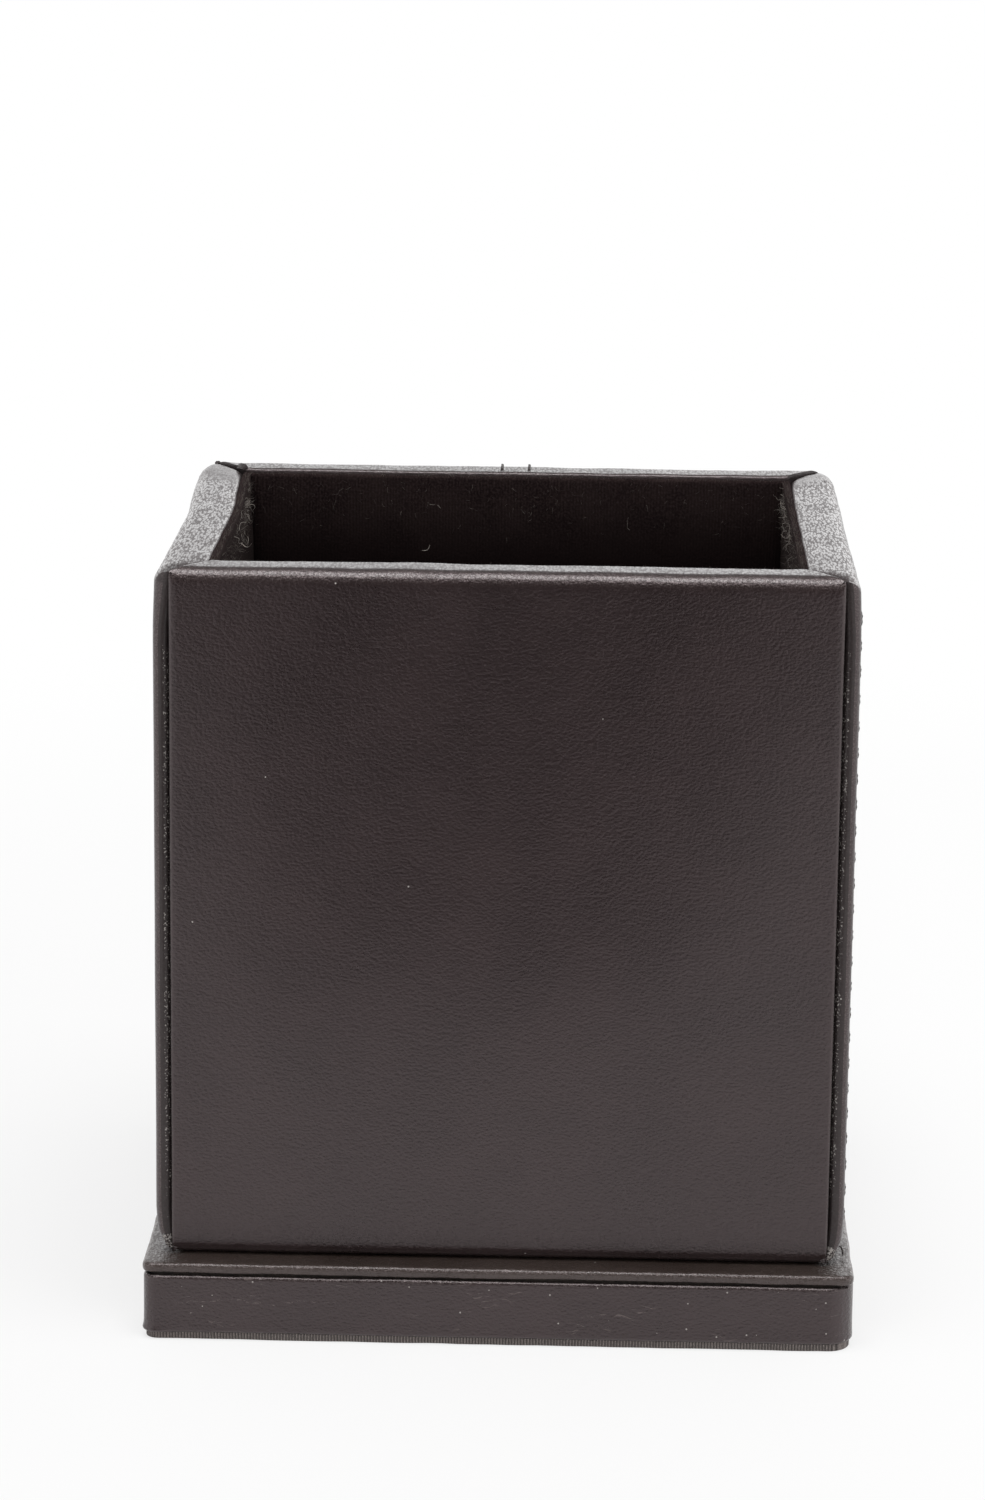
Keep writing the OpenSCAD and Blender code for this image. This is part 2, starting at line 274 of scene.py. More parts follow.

# %% [markdown]
# ## Leather finishes
# The box wears one dyed calf leather with a soft wax shine. Its own colour is a very dark brown;
# most of what the eye sees is the bright room in its sheen, so the roughness matters more than
# the colour, and the sheen takes a little of the dye's red. The mesh carries four values that the
# finish reads. One is high along rounded edges, where the dye rubs thin and bare flecks show; the
# paler colour and pale flecks there are partly real wear and partly painted highlight and glints.
# One is high on raw cut edges, which are dark and dry, and also on the turn inside the rim and a
# corner at the front of the left rim, where the dark is painted shade. `dusty` is high in the seams,
# where pale dust collects, and `open` is high where the skin is stretched and its pits stand dull in
# the shine.

# %% Colours of the leather
# Rubbed edges and bare flecks are partly wear, partly painted highlight and glints; the raw cut colour also
# paints shade.
RUBBED_AND_HIGHLIT = (0.085, 0.066, 0.06, 1)
BARE_FLECK_AND_GLINT = (0.42, 0.38, 0.37, 1)
SCRATCH = (0.17, 0.135, 0.125, 1)
RAW_CUT_AND_SHADE = (0.012, 0.009, 0.008, 1)
PALE_DUST = (0.48, 0.45, 0.42, 1)


def loose_dust(tree, place, specks):
    """Pale where a speck lies, and where powder has gathered in a seam."""
    dusty = attribute(tree, "dusty")
    heap = plus(tree, clouded(tree, place, 4.2, 2.0), times(tree, dusty, 0.35))
    powder = times(tree, smooth_step(tree, heap, 0.8, 0.9), smooth_step(tree, dusty, 0.02, 0.3))
    return most(tree, times(tree, specks, 0.75), times(tree, powder, 0.6))


def leather_colour(tree, colours, skin, marks, cut_and_shade, pale):
    """The clouded dye, and over it paler edges and pale fleck marks, partly from rubbing and partly painted
    highlight and glints, then scratches, raw ends also darkened as painted shade, and dust.
    """
    worn_and_glinting = attribute(tree, "wear_and_glint")
    # Paler rubbed edges and pale flecks: partly wear, partly painted highlight and glints.
    rubbed_and_highlit = times(tree, worn_and_glinting, smooth_step(tree, skin["Pore"], 0.35, 0.9), clamp=True)
    flecks_and_glints = times(tree, smooth_step(tree, skin["Pore"], 0.86, 1.0), maths(tree, "POWER", worn_and_glinting, 2.0))
    colour = mixed(tree, smooth_step(tree, skin["Cloud"], 0.35, 0.68), *colours)
    colour = mixed(tree, times(tree, rubbed_and_highlit, 0.4), colour, RUBBED_AND_HIGHLIT)
    colour = mixed(tree, times(tree, flecks_and_glints, 0.3), colour, BARE_FLECK_AND_GLINT)
    colour = mixed(tree, times(tree, marks, 0.45), colour, SCRATCH)
    # Dark raw ends, and painted shade in the turn inside the rim and the pinched corner.
    colour = mixed(tree, cut_and_shade, colour, RAW_CUT_AND_SHADE)
    return mixed(tree, pale, colour, PALE_DUST)


print("leather colours:", len((RUBBED_AND_HIGHLIT, BARE_FLECK_AND_GLINT, SCRATCH, RAW_CUT_AND_SHADE, PALE_DUST)))

# %% Leather of the walls and the plate
ROUGHNESS = 0.33
WAX = 0.37
BROWN = ((0.016, 0.0094, 0.0095, 1), (0.022, 0.0132, 0.0132, 1))
WARMER = ((0.03, 0.021, 0.017, 1), (0.042, 0.031, 0.026, 1))
RED_SHEEN = (1.0, 0.83, 0.85, 1)


def leather_finish(name, colours, bump, furrows, drawn, spacing, dust_share, scuff_share, crack=None):
    material, tree, shader, place = start_material(name)
    skin = place_group(tree, grain, Place=place, Pebble=0.35, Pores=0.17, Clouds=13.0,
                       Furrows=furrows, Drawn=drawn)
    specks = place_group(tree, dust, Place=place, Spacing=spacing, Speck=0.11, Share=dust_share)["Mask"]
    marks = place_group(tree, scuff, Place=place, Length=2.4, Width=0.2, Share=scuff_share)["Mask"]
    if crack:
        marks = most(tree, marks, crack(tree, place))
    cut_and_shade = attribute(tree, "cut_and_shade")
    stretched = attribute(tree, "open")
    pit = times(tree, skin["Pit"], stretched)
    pale = loose_dust(tree, place, specks)
    gloss = smooth_step(tree, skin["Cloud"], 0.3, 0.7, ROUGHNESS - 0.01, ROUGHNESS + 0.015)
    gloss = plus(tree, gloss, times(tree, skin["Pore"], -0.05))
    dull = plus(tree, times(tree, most(tree, cut_and_shade, pale), 0.4), times(tree, pit, 0.22))
    wax = plus(tree, times(tree, stretched, 0.6), WAX)
    feed(tree, shader, {
        "Base Color": leather_colour(tree, colours, skin, marks, cut_and_shade, pale),
        "Roughness": plus(tree, gloss, dull, clamp=True),
        "Coat Weight": maths(tree, "SUBTRACT", wax, times(tree, pit, 0.68), clamp=True),
        "Normal": relief(tree, plus(tree, skin["Height"], times(tree, marks, -0.8)), bump),
        "Specular Tint": RED_SHEEN,
        "Specular IOR Level": 0.6,
        "Coat Roughness": 0.22,
    })
    return material


wall_leather = leather_finish("wall_leather", BROWN, bump=0.052, furrows=0.12, drawn=0.2,
                              spacing=3.0, dust_share=0.16, scuff_share=0.03)
plate_finish = leather_finish("plate_leather", WARMER, bump=0.1, furrows=0.2, drawn=0.3,
                              spacing=2.4, dust_share=0.3, scuff_share=0.3)
print("leathers:", wall_leather.name, plate_finish.name)

# %% [markdown]
# The band has been knocked about more than the walls. It has more specks and scuffs, and near the
# left end of the front one long wrinkle has opened into a broken pale line. The line is drawn where
# the height is close to a wavy one, and noise breaks it up.

# %% Leather of the band
CRACK_LEVEL, CRACK_FROM, CRACK_TO = 5.3, -42.0, -17.0


def band_crack(tree, place):
    x, y, z = axes_of(tree, place)
    wander = clouded(tree, place, 0.28, 2.0)
    level = plus(tree, times(tree, wander, 2.6), CRACK_LEVEL - 1.3)
    off = maths(tree, "ABSOLUTE", maths(tree, "SUBTRACT", z, level))
    line = smooth_step(tree, off, 0.03, 0.11, 1.0, 0.0)
    line = times(tree, line, smooth_step(tree, clouded(tree, place, 3.6, 2.0), 0.5, 0.6))
    starts = smooth_step(tree, x, CRACK_FROM, CRACK_FROM + 4)
    fades = smooth_step(tree, x, CRACK_TO - 9, CRACK_TO, 1.0, 0.0)
    front = maths(tree, "LESS_THAN", y, 0.0)
    return times(tree, line, times(tree, times(tree, starts, fades), front))


band_finish = leather_finish("band_leather", BROWN, bump=0.07, furrows=0.15, drawn=0.5,
                             spacing=1.25, dust_share=0.3, scuff_share=0.5, crack=band_crack)
print("leather:", band_finish.name)

# %% [markdown]
# ## Building blocks for the soft pieces
# Every wall is drawn once, lying along X with its outer face at Y 0, and then turned about Z to
# its side. A block starts as a cube that is cut by planes into strips, narrow near the edges and
# wider in the middle, so that there are vertices where the leather has to bend.

# %% Blocks and slices
def slice_at(bm, axis, places):
    """Cuts all faces at the given places on one axis."""
    normal = Vector([float(axis == i) for i in range(3)])
    for place in places:
        geometry = bm.verts[:] + bm.edges[:] + bm.faces[:]
        bmesh.ops.bisect_plane(bm, geom=geometry, plane_co=normal * place, plane_no=normal)


def cut_block(low, high, cuts=()):
    """A box between two corners, sliced at the given places on each axis."""
    bm = bmesh.new()
    bmesh.ops.create_cube(bm, size=1.0)
    bmesh.ops.scale(bm, vec=high - low, verts=bm.verts)
    bmesh.ops.translate(bm, vec=(low + high) / 2, verts=bm.verts)
    for axis, places in enumerate(cuts):
        slice_at(bm, axis, places)
    return bm


def strips(low, high, step, near_low=(), near_high=()):
    """Even slices between two ends, with closer ones at the given distances from each end."""
    places = [low + gap for gap in near_low] + [high - gap for gap in near_high]
    start = max(near_low, default=0.0)
    stop = max(near_high, default=0.0)
    count = max(1, round((high - low - start - stop) / step))
    even = [low + start + (high - low - start - stop) * i / count for i in range(1, count)]
    return sorted(places + even)


print("strips of a 10 mm edge:", strips(0, 10, 2.5, (0.5,), (0.5,)))

# %% [markdown]
# A bevel gives all the edges at a corner one radius, but here a 2 mm rim meets a 1 mm mitre, so
# `ease` pulls the vertices near an edge onto a round of its own radius, and marks how far round
# they went. `ruffle` then makes the surface a little uneven.

# %% Rounds and unevenness
def ramp(value):
    """Rises smoothly from 0 to 1."""
    share = min(1.0, max(0.0, value))
    return share * share * (3 - 2 * share)


def fall(distance, run):
    """Falls evenly from 1 to 0 over a run, and stays at 0."""
    return max(0.0, 1 - distance / run)


def layer(bm, name):
    return bm.verts.layers.float.get(name) or bm.verts.layers.float.new(name)


def ease(bm, first, second, radius, mark=None, strength=1.0):
    """Rounds the edge between two planes, each a point and an outward normal."""
    lean = first[1].dot(second[1])
    spread = 1 - lean * lean
    marks = layer(bm, mark) if mark else None
    for vert in bm.verts:
        over_first = radius - (first[0] - vert.co).dot(first[1])
        over_second = radius - (second[0] - vert.co).dot(second[1])
        along_first = (over_first - lean * over_second) / spread
        along_second = (over_second - lean * over_first) / spread
        if along_first <= 0 or along_second <= 0:
            continue
        spoke = first[1] * along_first + second[1] * along_second
        if spoke.length > radius:
            vert.co -= spoke * (1 - radius / spoke.length)
        if marks:
            share = min(along_first, along_second) / max(along_first, along_second)
            vert[marks] = max(vert[marks], strength * share)


def ruffle(bm, amount, size, seed, weight=None):
    """Moves vertices along their normals by smooth noise, as glued skin is never quite flat."""
    bm.normal_update()
    offset = Vector((seed * 7.1, seed * 3.7, seed * 1.9))
    lengths = size if isinstance(size, tuple) else (size,) * 3
    scale = Matrix.Diagonal([1 / length for length in lengths])
    moves = []
    for vert in bm.verts:
        share = weight(vert.co) if weight else 1.0
        moves.append(vert.normal * amount * share * noise.noise(scale @ vert.co + offset))
    for vert, move in zip(bm.verts, moves):
        vert.co += move


print("a ramp in quarters:", [ramp(i / 4) for i in range(5)])

# %% [markdown]
# A bmesh only becomes visible as the mesh of an object. `show` does that for every piece and for
# the studio. `make_piece` also shades it smooth but for its sharp edges, lets it ride on the box and
# hides the CAD nodes that it stands for. Skins are drawn as one surface and get the thickness of
# leather from a Solidify modifier, inwards.

# %% Meshes, patterns and pieces
SHARP = math.radians(48)


def show(name, bm, finish):
    """Turns a bmesh into an object with one finish."""
    mesh = bpy.data.meshes.new(name)
    bm.to_mesh(mesh)
    bm.free()
    mesh.materials.append(finish)
    thing = bpy.data.objects.new(name, mesh)
    bpy.context.collection.objects.link(thing)
    return thing


def make_piece(name, bm, finish, slot, *nodes):
    """Turns a bmesh into a piece that rides on the box and stands for its CAD nodes."""
    for face in bm.faces:
        face.smooth = True
    for edge in bm.edges:
        edge.smooth = edge.calc_face_angle(0.0) < SHARP
    piece = show(name, bm, finish)
    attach(piece, "root")
    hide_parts(*nodes)
    print("piece:", name, "faces:", len(piece.data.polygons))
    return piece


def thicken(piece, thickness):
    """Gives a skin its thickness, inwards from the drawn surface."""
    hide = piece.modifiers.new("leather_thickness", "SOLIDIFY")
    hide.thickness = thickness
    hide.offset = -1


def pattern_of(bm):
    """Keeps a small bmesh as a mesh that can be stamped many times."""
    mesh = bpy.data.meshes.new("pattern")
    bm.to_mesh(mesh)
    bm.free()
    return mesh


def stamp(bm, pattern, matrix):
    """Adds a placed copy of a pattern to a bmesh."""
    copy = pattern.copy()
    copy.transform(matrix)
    bm.from_mesh(copy)
    bpy.data.meshes.remove(copy)


print("sharp from degrees:", round(math.degrees(SHARP)))

# %% [markdown]
# ## Sizes of the walls
# All sizes come from the frame, so the dressing follows the CAD model if it changes. The front
# and back panels are set between the side walls: seen from the front, the side walls show as a
# narrow bead of 1.4 mm at each edge, so the mitres are a little off 45 degrees. `lean_of` says how
# far the end of a wall runs in for each millimetre of depth.

# %% Sizes from the frame
front_low, front_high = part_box("front_leather")
right_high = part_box("right_leather")[1]
lining_low, lining_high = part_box("front_lining")
SIDES = ["front", "right", "back", "left"]
WRAPPED = ("right", "left")
half_width = right_high.x
half_depth = -front_low.y
HALF = {"front": half_width, "back": half_width, "right": half_depth, "left": half_depth}
OUT = {"front": half_depth, "back": half_depth, "right": half_width, "left": half_width}
foot, rim = front_low.z, front_high.z
wall = front_high.y - front_low.y
lining_face = lining_high.y - front_low.y
lining_foot, lining_top = lining_low.z, lining_high.z
SEAM_IN = 1.4 * MM
SEAM_LEAN = (wall - SEAM_IN) / wall
SEAM_GAP = 0.2 * MM


def lean_of(side):
    return 1 / SEAM_LEAN if side in WRAPPED else SEAM_LEAN


def reach_of(side, depth):
    """Half the length of a wall at a depth behind its face."""
    lean = lean_of(side) if depth < wall else 1.0
    return HALF[side] - wall + (wall - depth) * lean


print("walls in mm:", [round(value / MM, 2) for value in (half_width, half_depth, wall, rim - foot)])

# %% [markdown]
# A wall has six planes, and its two ends are mitred. When a wall is drawn, it is stood up on its
# side of the box. The box was put together by hand: its back left corner has spread outwards by
# about a millimetre at the top, and `set_up` does the same.

# %% Setting up a wall
SPREAD, SPREAD_HIGH, SPREAD_DEEP = 1.1 * MM, 30 * MM, 32 * MM


def stand(side):
    """Turns a wall from where it is drawn to its own side of the box."""
    turned = Matrix.Rotation(math.pi / 2 * SIDES.index(side), 4, "Z")
    return turned @ Matrix.Translation((0, -OUT[side], 0))


def planes_of(side, depth, low, high, short=0.0):
    """The six planes of a wall with mitred ends: a point and an outward normal each."""
    slope = Vector((1, lean_of(side), 0)).normalized()
    end = reach_of(side, 0) - short
    return {
        "face": (Vector((0, 0, 0)), Vector((0, -1, 0))),
        "inner": (Vector((0, depth, 0)), Vector((0, 1, 0))),
        "top": (Vector((0, 0, high)), Vector((0, 0, 1))),
        "foot": (Vector((0, 0, low)), Vector((0, 0, -1))),
        "right": (Vector((end, 0, 0)), slope),
        "left": (Vector((-end, 0, 0)), Vector((-slope.x, slope.y, 0))),
    }


def mitre(bm, side, short=0.0):
    """Leans both ends of a wall in along its mitres, and leaves them a little short."""
    for vert in bm.verts:
        vert.co.x *= (reach_of(side, vert.co.y) - short) / HALF[side]


def set_up(bm, side):
    """Turns a finished wall piece to its side, and lets the back left corner spread at the top."""
    bmesh.ops.transform(bm, matrix=stand(side), verts=bm.verts)
    for vert in bm.verts:
        up = ramp((vert.co.z - rim) / SPREAD_HIGH + 1)
        back = ramp(vert.co.y / SPREAD_DEEP)
        left = ramp(-vert.co.x / half_width)
        vert.co.x -= SPREAD * up * back * left


print("spread of the back left corner in mm:", SPREAD / MM)

# %% [markdown]
# ## Wall leather
# Each wall board is wrapped in one skin, glued over the rim and a little way down the inside. The
# skin is a block with rounded edges that has its hidden inner faces taken off and then gets its
# thickness. On the side walls the skin is folded round the ends of the rim, which slope down to the
# corners; the front and back skins end there in a dark cut edge that stands above them. The values
# below differ between the flat panels and the wrapped side walls, so each is kept by wall.

# %% Edges of a wall skin
RIM_R, INNER_R = 2.0 * MM, 0.6 * MM
TURN_IN = 14 * MM
SKIN = 0.45 * MM
BACK_END = {"right": 1, "left": -1}


def by_wall(panels, wrapped):
    """One value for the front and back panels and one for the wrapped side walls, in millimetres."""
    return {side: (wrapped if side in WRAPPED else panels) * MM for side in SIDES}


FOOT_R = by_wall(1.5, 3.5)
EDGE_R = by_wall(0.45, 1.1)
RIM_END_R = by_wall(0.2, 0.8)
RIM_END_R["front"] = 1.0 * MM
FOOT_END_R = by_wall(1.7, 0.8)
LIP, LIP_RUN = by_wall(0.18, -0.4), by_wall(2.4, 5.0)
CROWN, CROWN_HIGH = by_wall(0.05, 0.2), 2.5 * MM


def end_gap(side, co):
    """How far a point lies from the mitred end of its wall, along the wall."""
    return reach_of(side, co.y) - SEAM_GAP - abs(co.x)


def shape_rim(bm, side):
    """Crowns the rim, and lifts or lowers it towards the mitred ends."""
    for vert in bm.verts:
        height = 1 - (rim - vert.co.z) / CROWN_HIGH
        if height > 0:
            across = (vert.co.y - wall / 2) / (wall / 2)
            near_end = 1 - min(1.0, max(0.0, end_gap(side, vert.co)) / LIP_RUN[side])
            vert.co.z += height * (LIP[side] * near_end ** 2 - CROWN[side] * across ** 2)


print("rim radius in mm:", RIM_R / MM)

# %% [markdown]
# The corners of the side walls are where hands and shelves have touched the box most. Their tops
# lean in a little, the front corners are pressed round and the toes at the foot are tucked in. At
# the back end the leather is folded double, which lifts it by a hair, and the inner edge of the rim
# draws away from the well. Each move is a depth that fades over a run, a height or both.

# %% Corners of the side walls
LEAN_IN = {"right": 0.28 * MM, "left": 0.2 * MM}
LEAN_START, LEAN_RUN = 8 * MM, 35 * MM
FRONT_RUN, FRONT_ROUND = 4.5 * MM, {"right": 0.7 * MM, "left": 1.8 * MM}
BACK_RUN, BACK_ROUND = 6 * MM, 1.7 * MM
TUCK, TUCK_RUN, TUCK_HIGH = 1.0 * MM, 12 * MM, 1.5 * MM
TOE, TOE_HIGH, TOE_RUN = 1.8 * MM, 6.5 * MM, 5 * MM
FOLD, FOLD_HIGH, FOLD_LIFT = 9.45 * MM, 3 * MM, 0.1 * MM
CORNER_HIGH = 8 * MM
KNOT_GAP, KNOT_HIGH, KNOT_DEEP, KNOT_PASSES = 1.2 * MM, 2.6 * MM, 3 * MM, 5


def shape_corners(bm, side):
    """Leans the top of a side wall in, rounds its corners, and lifts the fold at the back end."""
    for vert in bm.verts:
        gap = max(0.0, end_gap(side, vert.co))
        outer = fall(vert.co.y, wall)
        vert.co.y += TOE * fall(vert.co.z - foot, TOE_HIGH) ** 2 * outer ** 2 * fall(gap, TOE_RUN)
        high = fall(rim - vert.co.z, CORNER_HIGH)
        if high == 0.0:
            continue
        from_back = HALF[side] - BACK_END[side] * vert.co.x
        leaning = ramp((from_back - LEAN_START) / LEAN_RUN)
        vert.co.y += LEAN_IN[side] * high ** 2 * (0.6 + 0.4 * outer) * leaning
        at_back = from_back < HALF[side]
        run, depth = (BACK_RUN, BACK_ROUND) if at_back else (FRONT_RUN, FRONT_ROUND[side])
        vert.co.y += depth * fall(gap, run) ** 2 * outer ** 2 * high
        if at_back:
            top = fall(rim - vert.co.z, TUCK_HIGH)
            vert.co.y -= TUCK * fall(gap, TUCK_RUN) ** 2 * (1 - outer) ** 2 * top
        if at_back and gap < FOLD and vert.co.z > rim - FOLD_HIGH:
            vert.co.z += FOLD_LIFT


def calm_corners(bm, side):
    """Smooths the points where three rounded edges meet."""
    knots = [vert for vert in bm.verts if end_gap(side, vert.co) < KNOT_GAP
             and vert.co.z > rim - KNOT_HIGH and vert.co.y < KNOT_DEEP]
    for _ in range(KNOT_PASSES):
        bmesh.ops.smooth_vert(bm, verts=knots, factor=0.5, use_axis_x=True, use_axis_y=True, use_axis_z=True)


print("toe in mm:", TOE / MM)

# %% [markdown]
# The mesh also says where the leather is cut or shaded, dusty or open. The mitred ends are raw
# cuts. The turn inside the rim and a pinched corner at the front of the left rim are painted dark,
# as shade. Dust lies in the seams, thickest in the foot corners. The grain is open on the rims, but
# hardly where the skin is folded double at their back ends.

# %% Marks on a wall skin
OPEN = {side: 1.0 if side in WRAPPED else 0.6 for side in SIDES}
LEAST_OPEN = 0.16
SMOOTH_END = {"right": 11 * MM, "left": 17 * MM}
# The turn inside the rim and the pinched corner are painted dark as shade.
CUT_AND_SHADE_DARK, PAINTED_PINCH_SHADE, SEAM_DUST = 0.95, 0.75, 0.65
END_FACE, SEAM_NEAR = 0.05 * MM, 0.1 * MM
TURN_DEEP, TURN_DOWN = 0.3 * MM, 0.4 * MM
DUST_UP, DUST_DOWN = 12 * MM, 9 * MM


def in_foot_corner(side, gap, height):
    """In the heap of dust at the foot of a side wall, which is higher close to the seam."""
    return side in WRAPPED and gap < 3 * MM and height < (2.6 if gap < 1.4 * MM else 1.3) * MM


def in_painted_pinch_shade(side, gap, co):
    """In the pinched corner at the front of the left rim, which is painted dark as shade."""
    return side == "left" and gap < 2.4 * MM and co.x > 0 and co.y < 2.6 * MM and co.z > rim - 1.9 * MM


def mark_ends(bm, side):
    """Marks raw ends, the turn inside the rim darkened as painted shade, and the dust in seams and foot
    corners.
    """
    cut_and_shade, dusty = layer(bm, "cut_and_shade"), layer(bm, "dusty")
    seam = (1.3 * MM, 2.2 * MM) if side in WRAPPED else (0.05 * MM, 1.5 * MM)
    for vert in bm.verts:
        gap = end_gap(side, vert.co)
        # Raw ends are dark; the turn inside the rim is painted dark as shade.
        if gap < END_FACE or (vert.co.y > wall - TURN_DEEP and vert.co.z < rim - TURN_DOWN):
            vert[cut_and_shade] = CUT_AND_SHADE_DARK
        if in_foot_corner(side, gap, vert.co.z - foot):
            vert[dusty] = 1.0
        elif gap < SEAM_NEAR and seam[0] < vert.co.y < seam[1]:
            rising = ramp((vert.co.z - foot) / DUST_UP)
            vert[dusty] = SEAM_DUST * rising * ramp((rim - vert.co.z) / DUST_DOWN - 0.5)
        # The pinched corner is painted dark as shade.
        if in_painted_pinch_shade(side, gap, vert.co):
            vert[cut_and_shade] = max(vert[cut_and_shade], PAINTED_PINCH_SHADE)


def open_grain(bm, side):
    """Marks how far the grain stands open: most on the rim, little where the skin is folded double."""
    marks = layer(bm, "open")
    bm.normal_update()
    for vert in bm.verts:
        share = OPEN[side] * ramp((vert.normal.z - 0.2) / 0.5)
        if side in WRAPPED and HALF[side] - BACK_END[side] * vert.co.x < HALF[side]:
            share *= 0.2 + 0.8 * ramp(2 * end_gap(side, vert.co) / SMOOTH_END[side] - 1)
        vert[marks] = max(LEAST_OPEN, share)


print("open grain on the rims:", OPEN)

# %% [markdown]
# Now the four skins can be made. The slices lie close together where an edge is rounded or a mark
# starts. A slow unevenness runs over the faces, and the narrow side rims carry the cross ripples of
# a skin that was pulled tight over a board.

# %% Four wall skins
PANEL_CUTS = [gap * MM for gap in (0.02, 0.2, 0.35, 0.57, 0.71, 0.83, 0.95, 1.6, 2.6)]
SIDE_CUTS = [gap * MM for gap in (0.15, 0.45, 0.85, 1.25, 1.6, 1.9, 2.25, 2.5, 2.75, 2.95, 3.2, 4.0,
                                  6.6, 9.3, 9.6)]
RIM_CUTS = [gap * MM for gap in (0.3, 0.6, 0.85, 1.25, 1.65, 2.0, 3.0)]
FOOT_CUTS = [gap * MM for gap in (0.35, 0.75, 1.2, 1.6, 2.2, 2.9, 3.6)]
DEPTH_CUTS = [gap * MM for gap in (0.1, 0.35, 0.6, 0.85, 1.15, 1.4, 1.6, 1.75, 1.9, 2.05, 3.0, 4.0, 5.0,
                                   5.55, 5.72, 5.85, 6.0, 6.15)]
WALL_STEP = 2.2 * MM
FACE_WAVE, FACE_WAVE_SIZE = 0.04 * MM, 15 * MM
RIM_WAVE, RIM_WAVE_SIZE = 0.1 * MM, 6 * MM
RIPPLE, RIPPLE_SIZE = by_wall(0.04, 0.09), (1.7 * MM, 7 * MM, 7 * MM)
INSIDE = 0.4 * MM


def near_rim(co):
    return fall(rim - co.z, 4 * MM)


def round_wall(bm, side):
    """Rounds the edges of a wall, and marks those that hands reach as paler from rubbing, partly painted
    highlight and glints.
    """
    planes = planes_of(side, wall, foot, rim, SEAM_GAP)
    ease(bm, planes["face"], planes["foot"], FOOT_R[side], "wear_and_glint", 0.5)
    for end in ("right", "left"):
        ease(bm, planes["face"], planes[end], EDGE_R[side], "wear_and_glint", 0.6)
        ease(bm, planes["top"], planes[end], RIM_END_R[side])
        ease(bm, planes["foot"], planes[end], FOOT_END_R[side])
    ease(bm, planes["top"], planes["inner"], INNER_R, "wear_and_glint", 0.6)
    ease(bm, planes["face"], planes["top"], RIM_R, "wear_and_glint")


def wall_skin(side, seed):
    half = HALF[side]
    end_cuts = SIDE_CUTS if side in WRAPPED else PANEL_CUTS
    cuts = (strips(-half, half, WALL_STEP, end_cuts, end_cuts), DEPTH_CUTS,
            strips(foot, rim, WALL_STEP, FOOT_CUTS, RIM_CUTS))
    bm = cut_block(Vector((-half, 0, foot)), Vector((half, wall, rim)), cuts)
    mitre(bm, side, SEAM_GAP)
    mark_ends(bm, side)
    round_wall(bm, side)
    shape_rim(bm, side)
    if side in WRAPPED:
        shape_corners(bm, side)
    calm_corners(bm, side)
    ruffle(bm, FACE_WAVE, FACE_WAVE_SIZE, seed)
    ruffle(bm, RIM_WAVE, RIM_WAVE_SIZE, seed + 4, near_rim)
    ruffle(bm, RIPPLE[side], RIPPLE_SIZE, seed + 8, near_rim)
    centres = {face: face.calc_center_median() for face in bm.faces}
    hidden = [face for face, centre in centres.items()
              if centre.y > wall - INSIDE and centre.z < rim - TURN_IN]
    bmesh.ops.delete(bm, geom=hidden, context="FACES")
    open_grain(bm, side)
    set_up(bm, side)
    thicken(make_piece(side + "_wall_skin", bm, wall_leather, "wall_leather", side + "_leather"), SKIN)


for number, side in enumerate(SIDES):
    wall_skin(side, number + 1)

# %% [markdown]
# ## Velvet lining
# The well is lined with near-black brown velvet, cut to each wall and glued over the turned-in
# leather, its top edge just below the rim. Velvet is short upright pile: it looks darkest when seen
# straight on and shows a grey sheen when seen along its surface. The sheen is a plain value on the
# shader; the tufts come from noise, and the faint upright ribs of the weave, 0.43 mm apart, from a
# wave. The ribs follow X on two walls and Y on the others, and a wave along X plus Y does both, so
# the cloth under the plinth, which is ribbed in the same way, shares it as a group. The colour
# darkens down the well as painted shade, for the little light that gets deep into it.

# %% Ribs of a weave
WAVES_PER_RIB = 0.444
ribs, source, sink = start_group("weave_ribs", {"Spacing": 0.43}, ("Mask",))
slanted = add(ribs, "ShaderNodeMapping", {"Vector": source["Place"], "Rotation": (0, 0, math.radians(45))})
rib_scale = maths(ribs, "DIVIDE", WAVES_PER_RIB, source["Spacing"])
wave = add(ribs, "ShaderNodeTexWave", {"Vector": slanted.outputs[0], "Scale": rib_scale, "Distortion": 0.7,
                                       "Detail": 2.0, "Detail Scale": 1.5}, bands_direction="X")
feed(ribs, sink, {"Mask": wave.outputs["Fac"]})
print("group:", ribs.name)

# %% Velvet
DEEP_PILE, BRUSHED_PILE = (0.013, 0.008, 0.0085, 1), (0.026, 0.017, 0.0165, 1)
TUFT = (0.04, 0.0275, 0.0265, 1)
RIB_SHADE = (0.011, 0.007, 0.007, 1)
# Painted shade: the pile is drawn towards this darker colour down the well, between the heights below in mm.
PAINTED_WELL_SHADE = (0.008, 0.005, 0.005, 1)
DIM_BELOW, FULL_ABOVE = 83.0, 98.0
GREY_SPECK = (0.3, 0.28, 0.26, 1)
PALE_LINT = (0.55, 0.5, 0.45, 1)


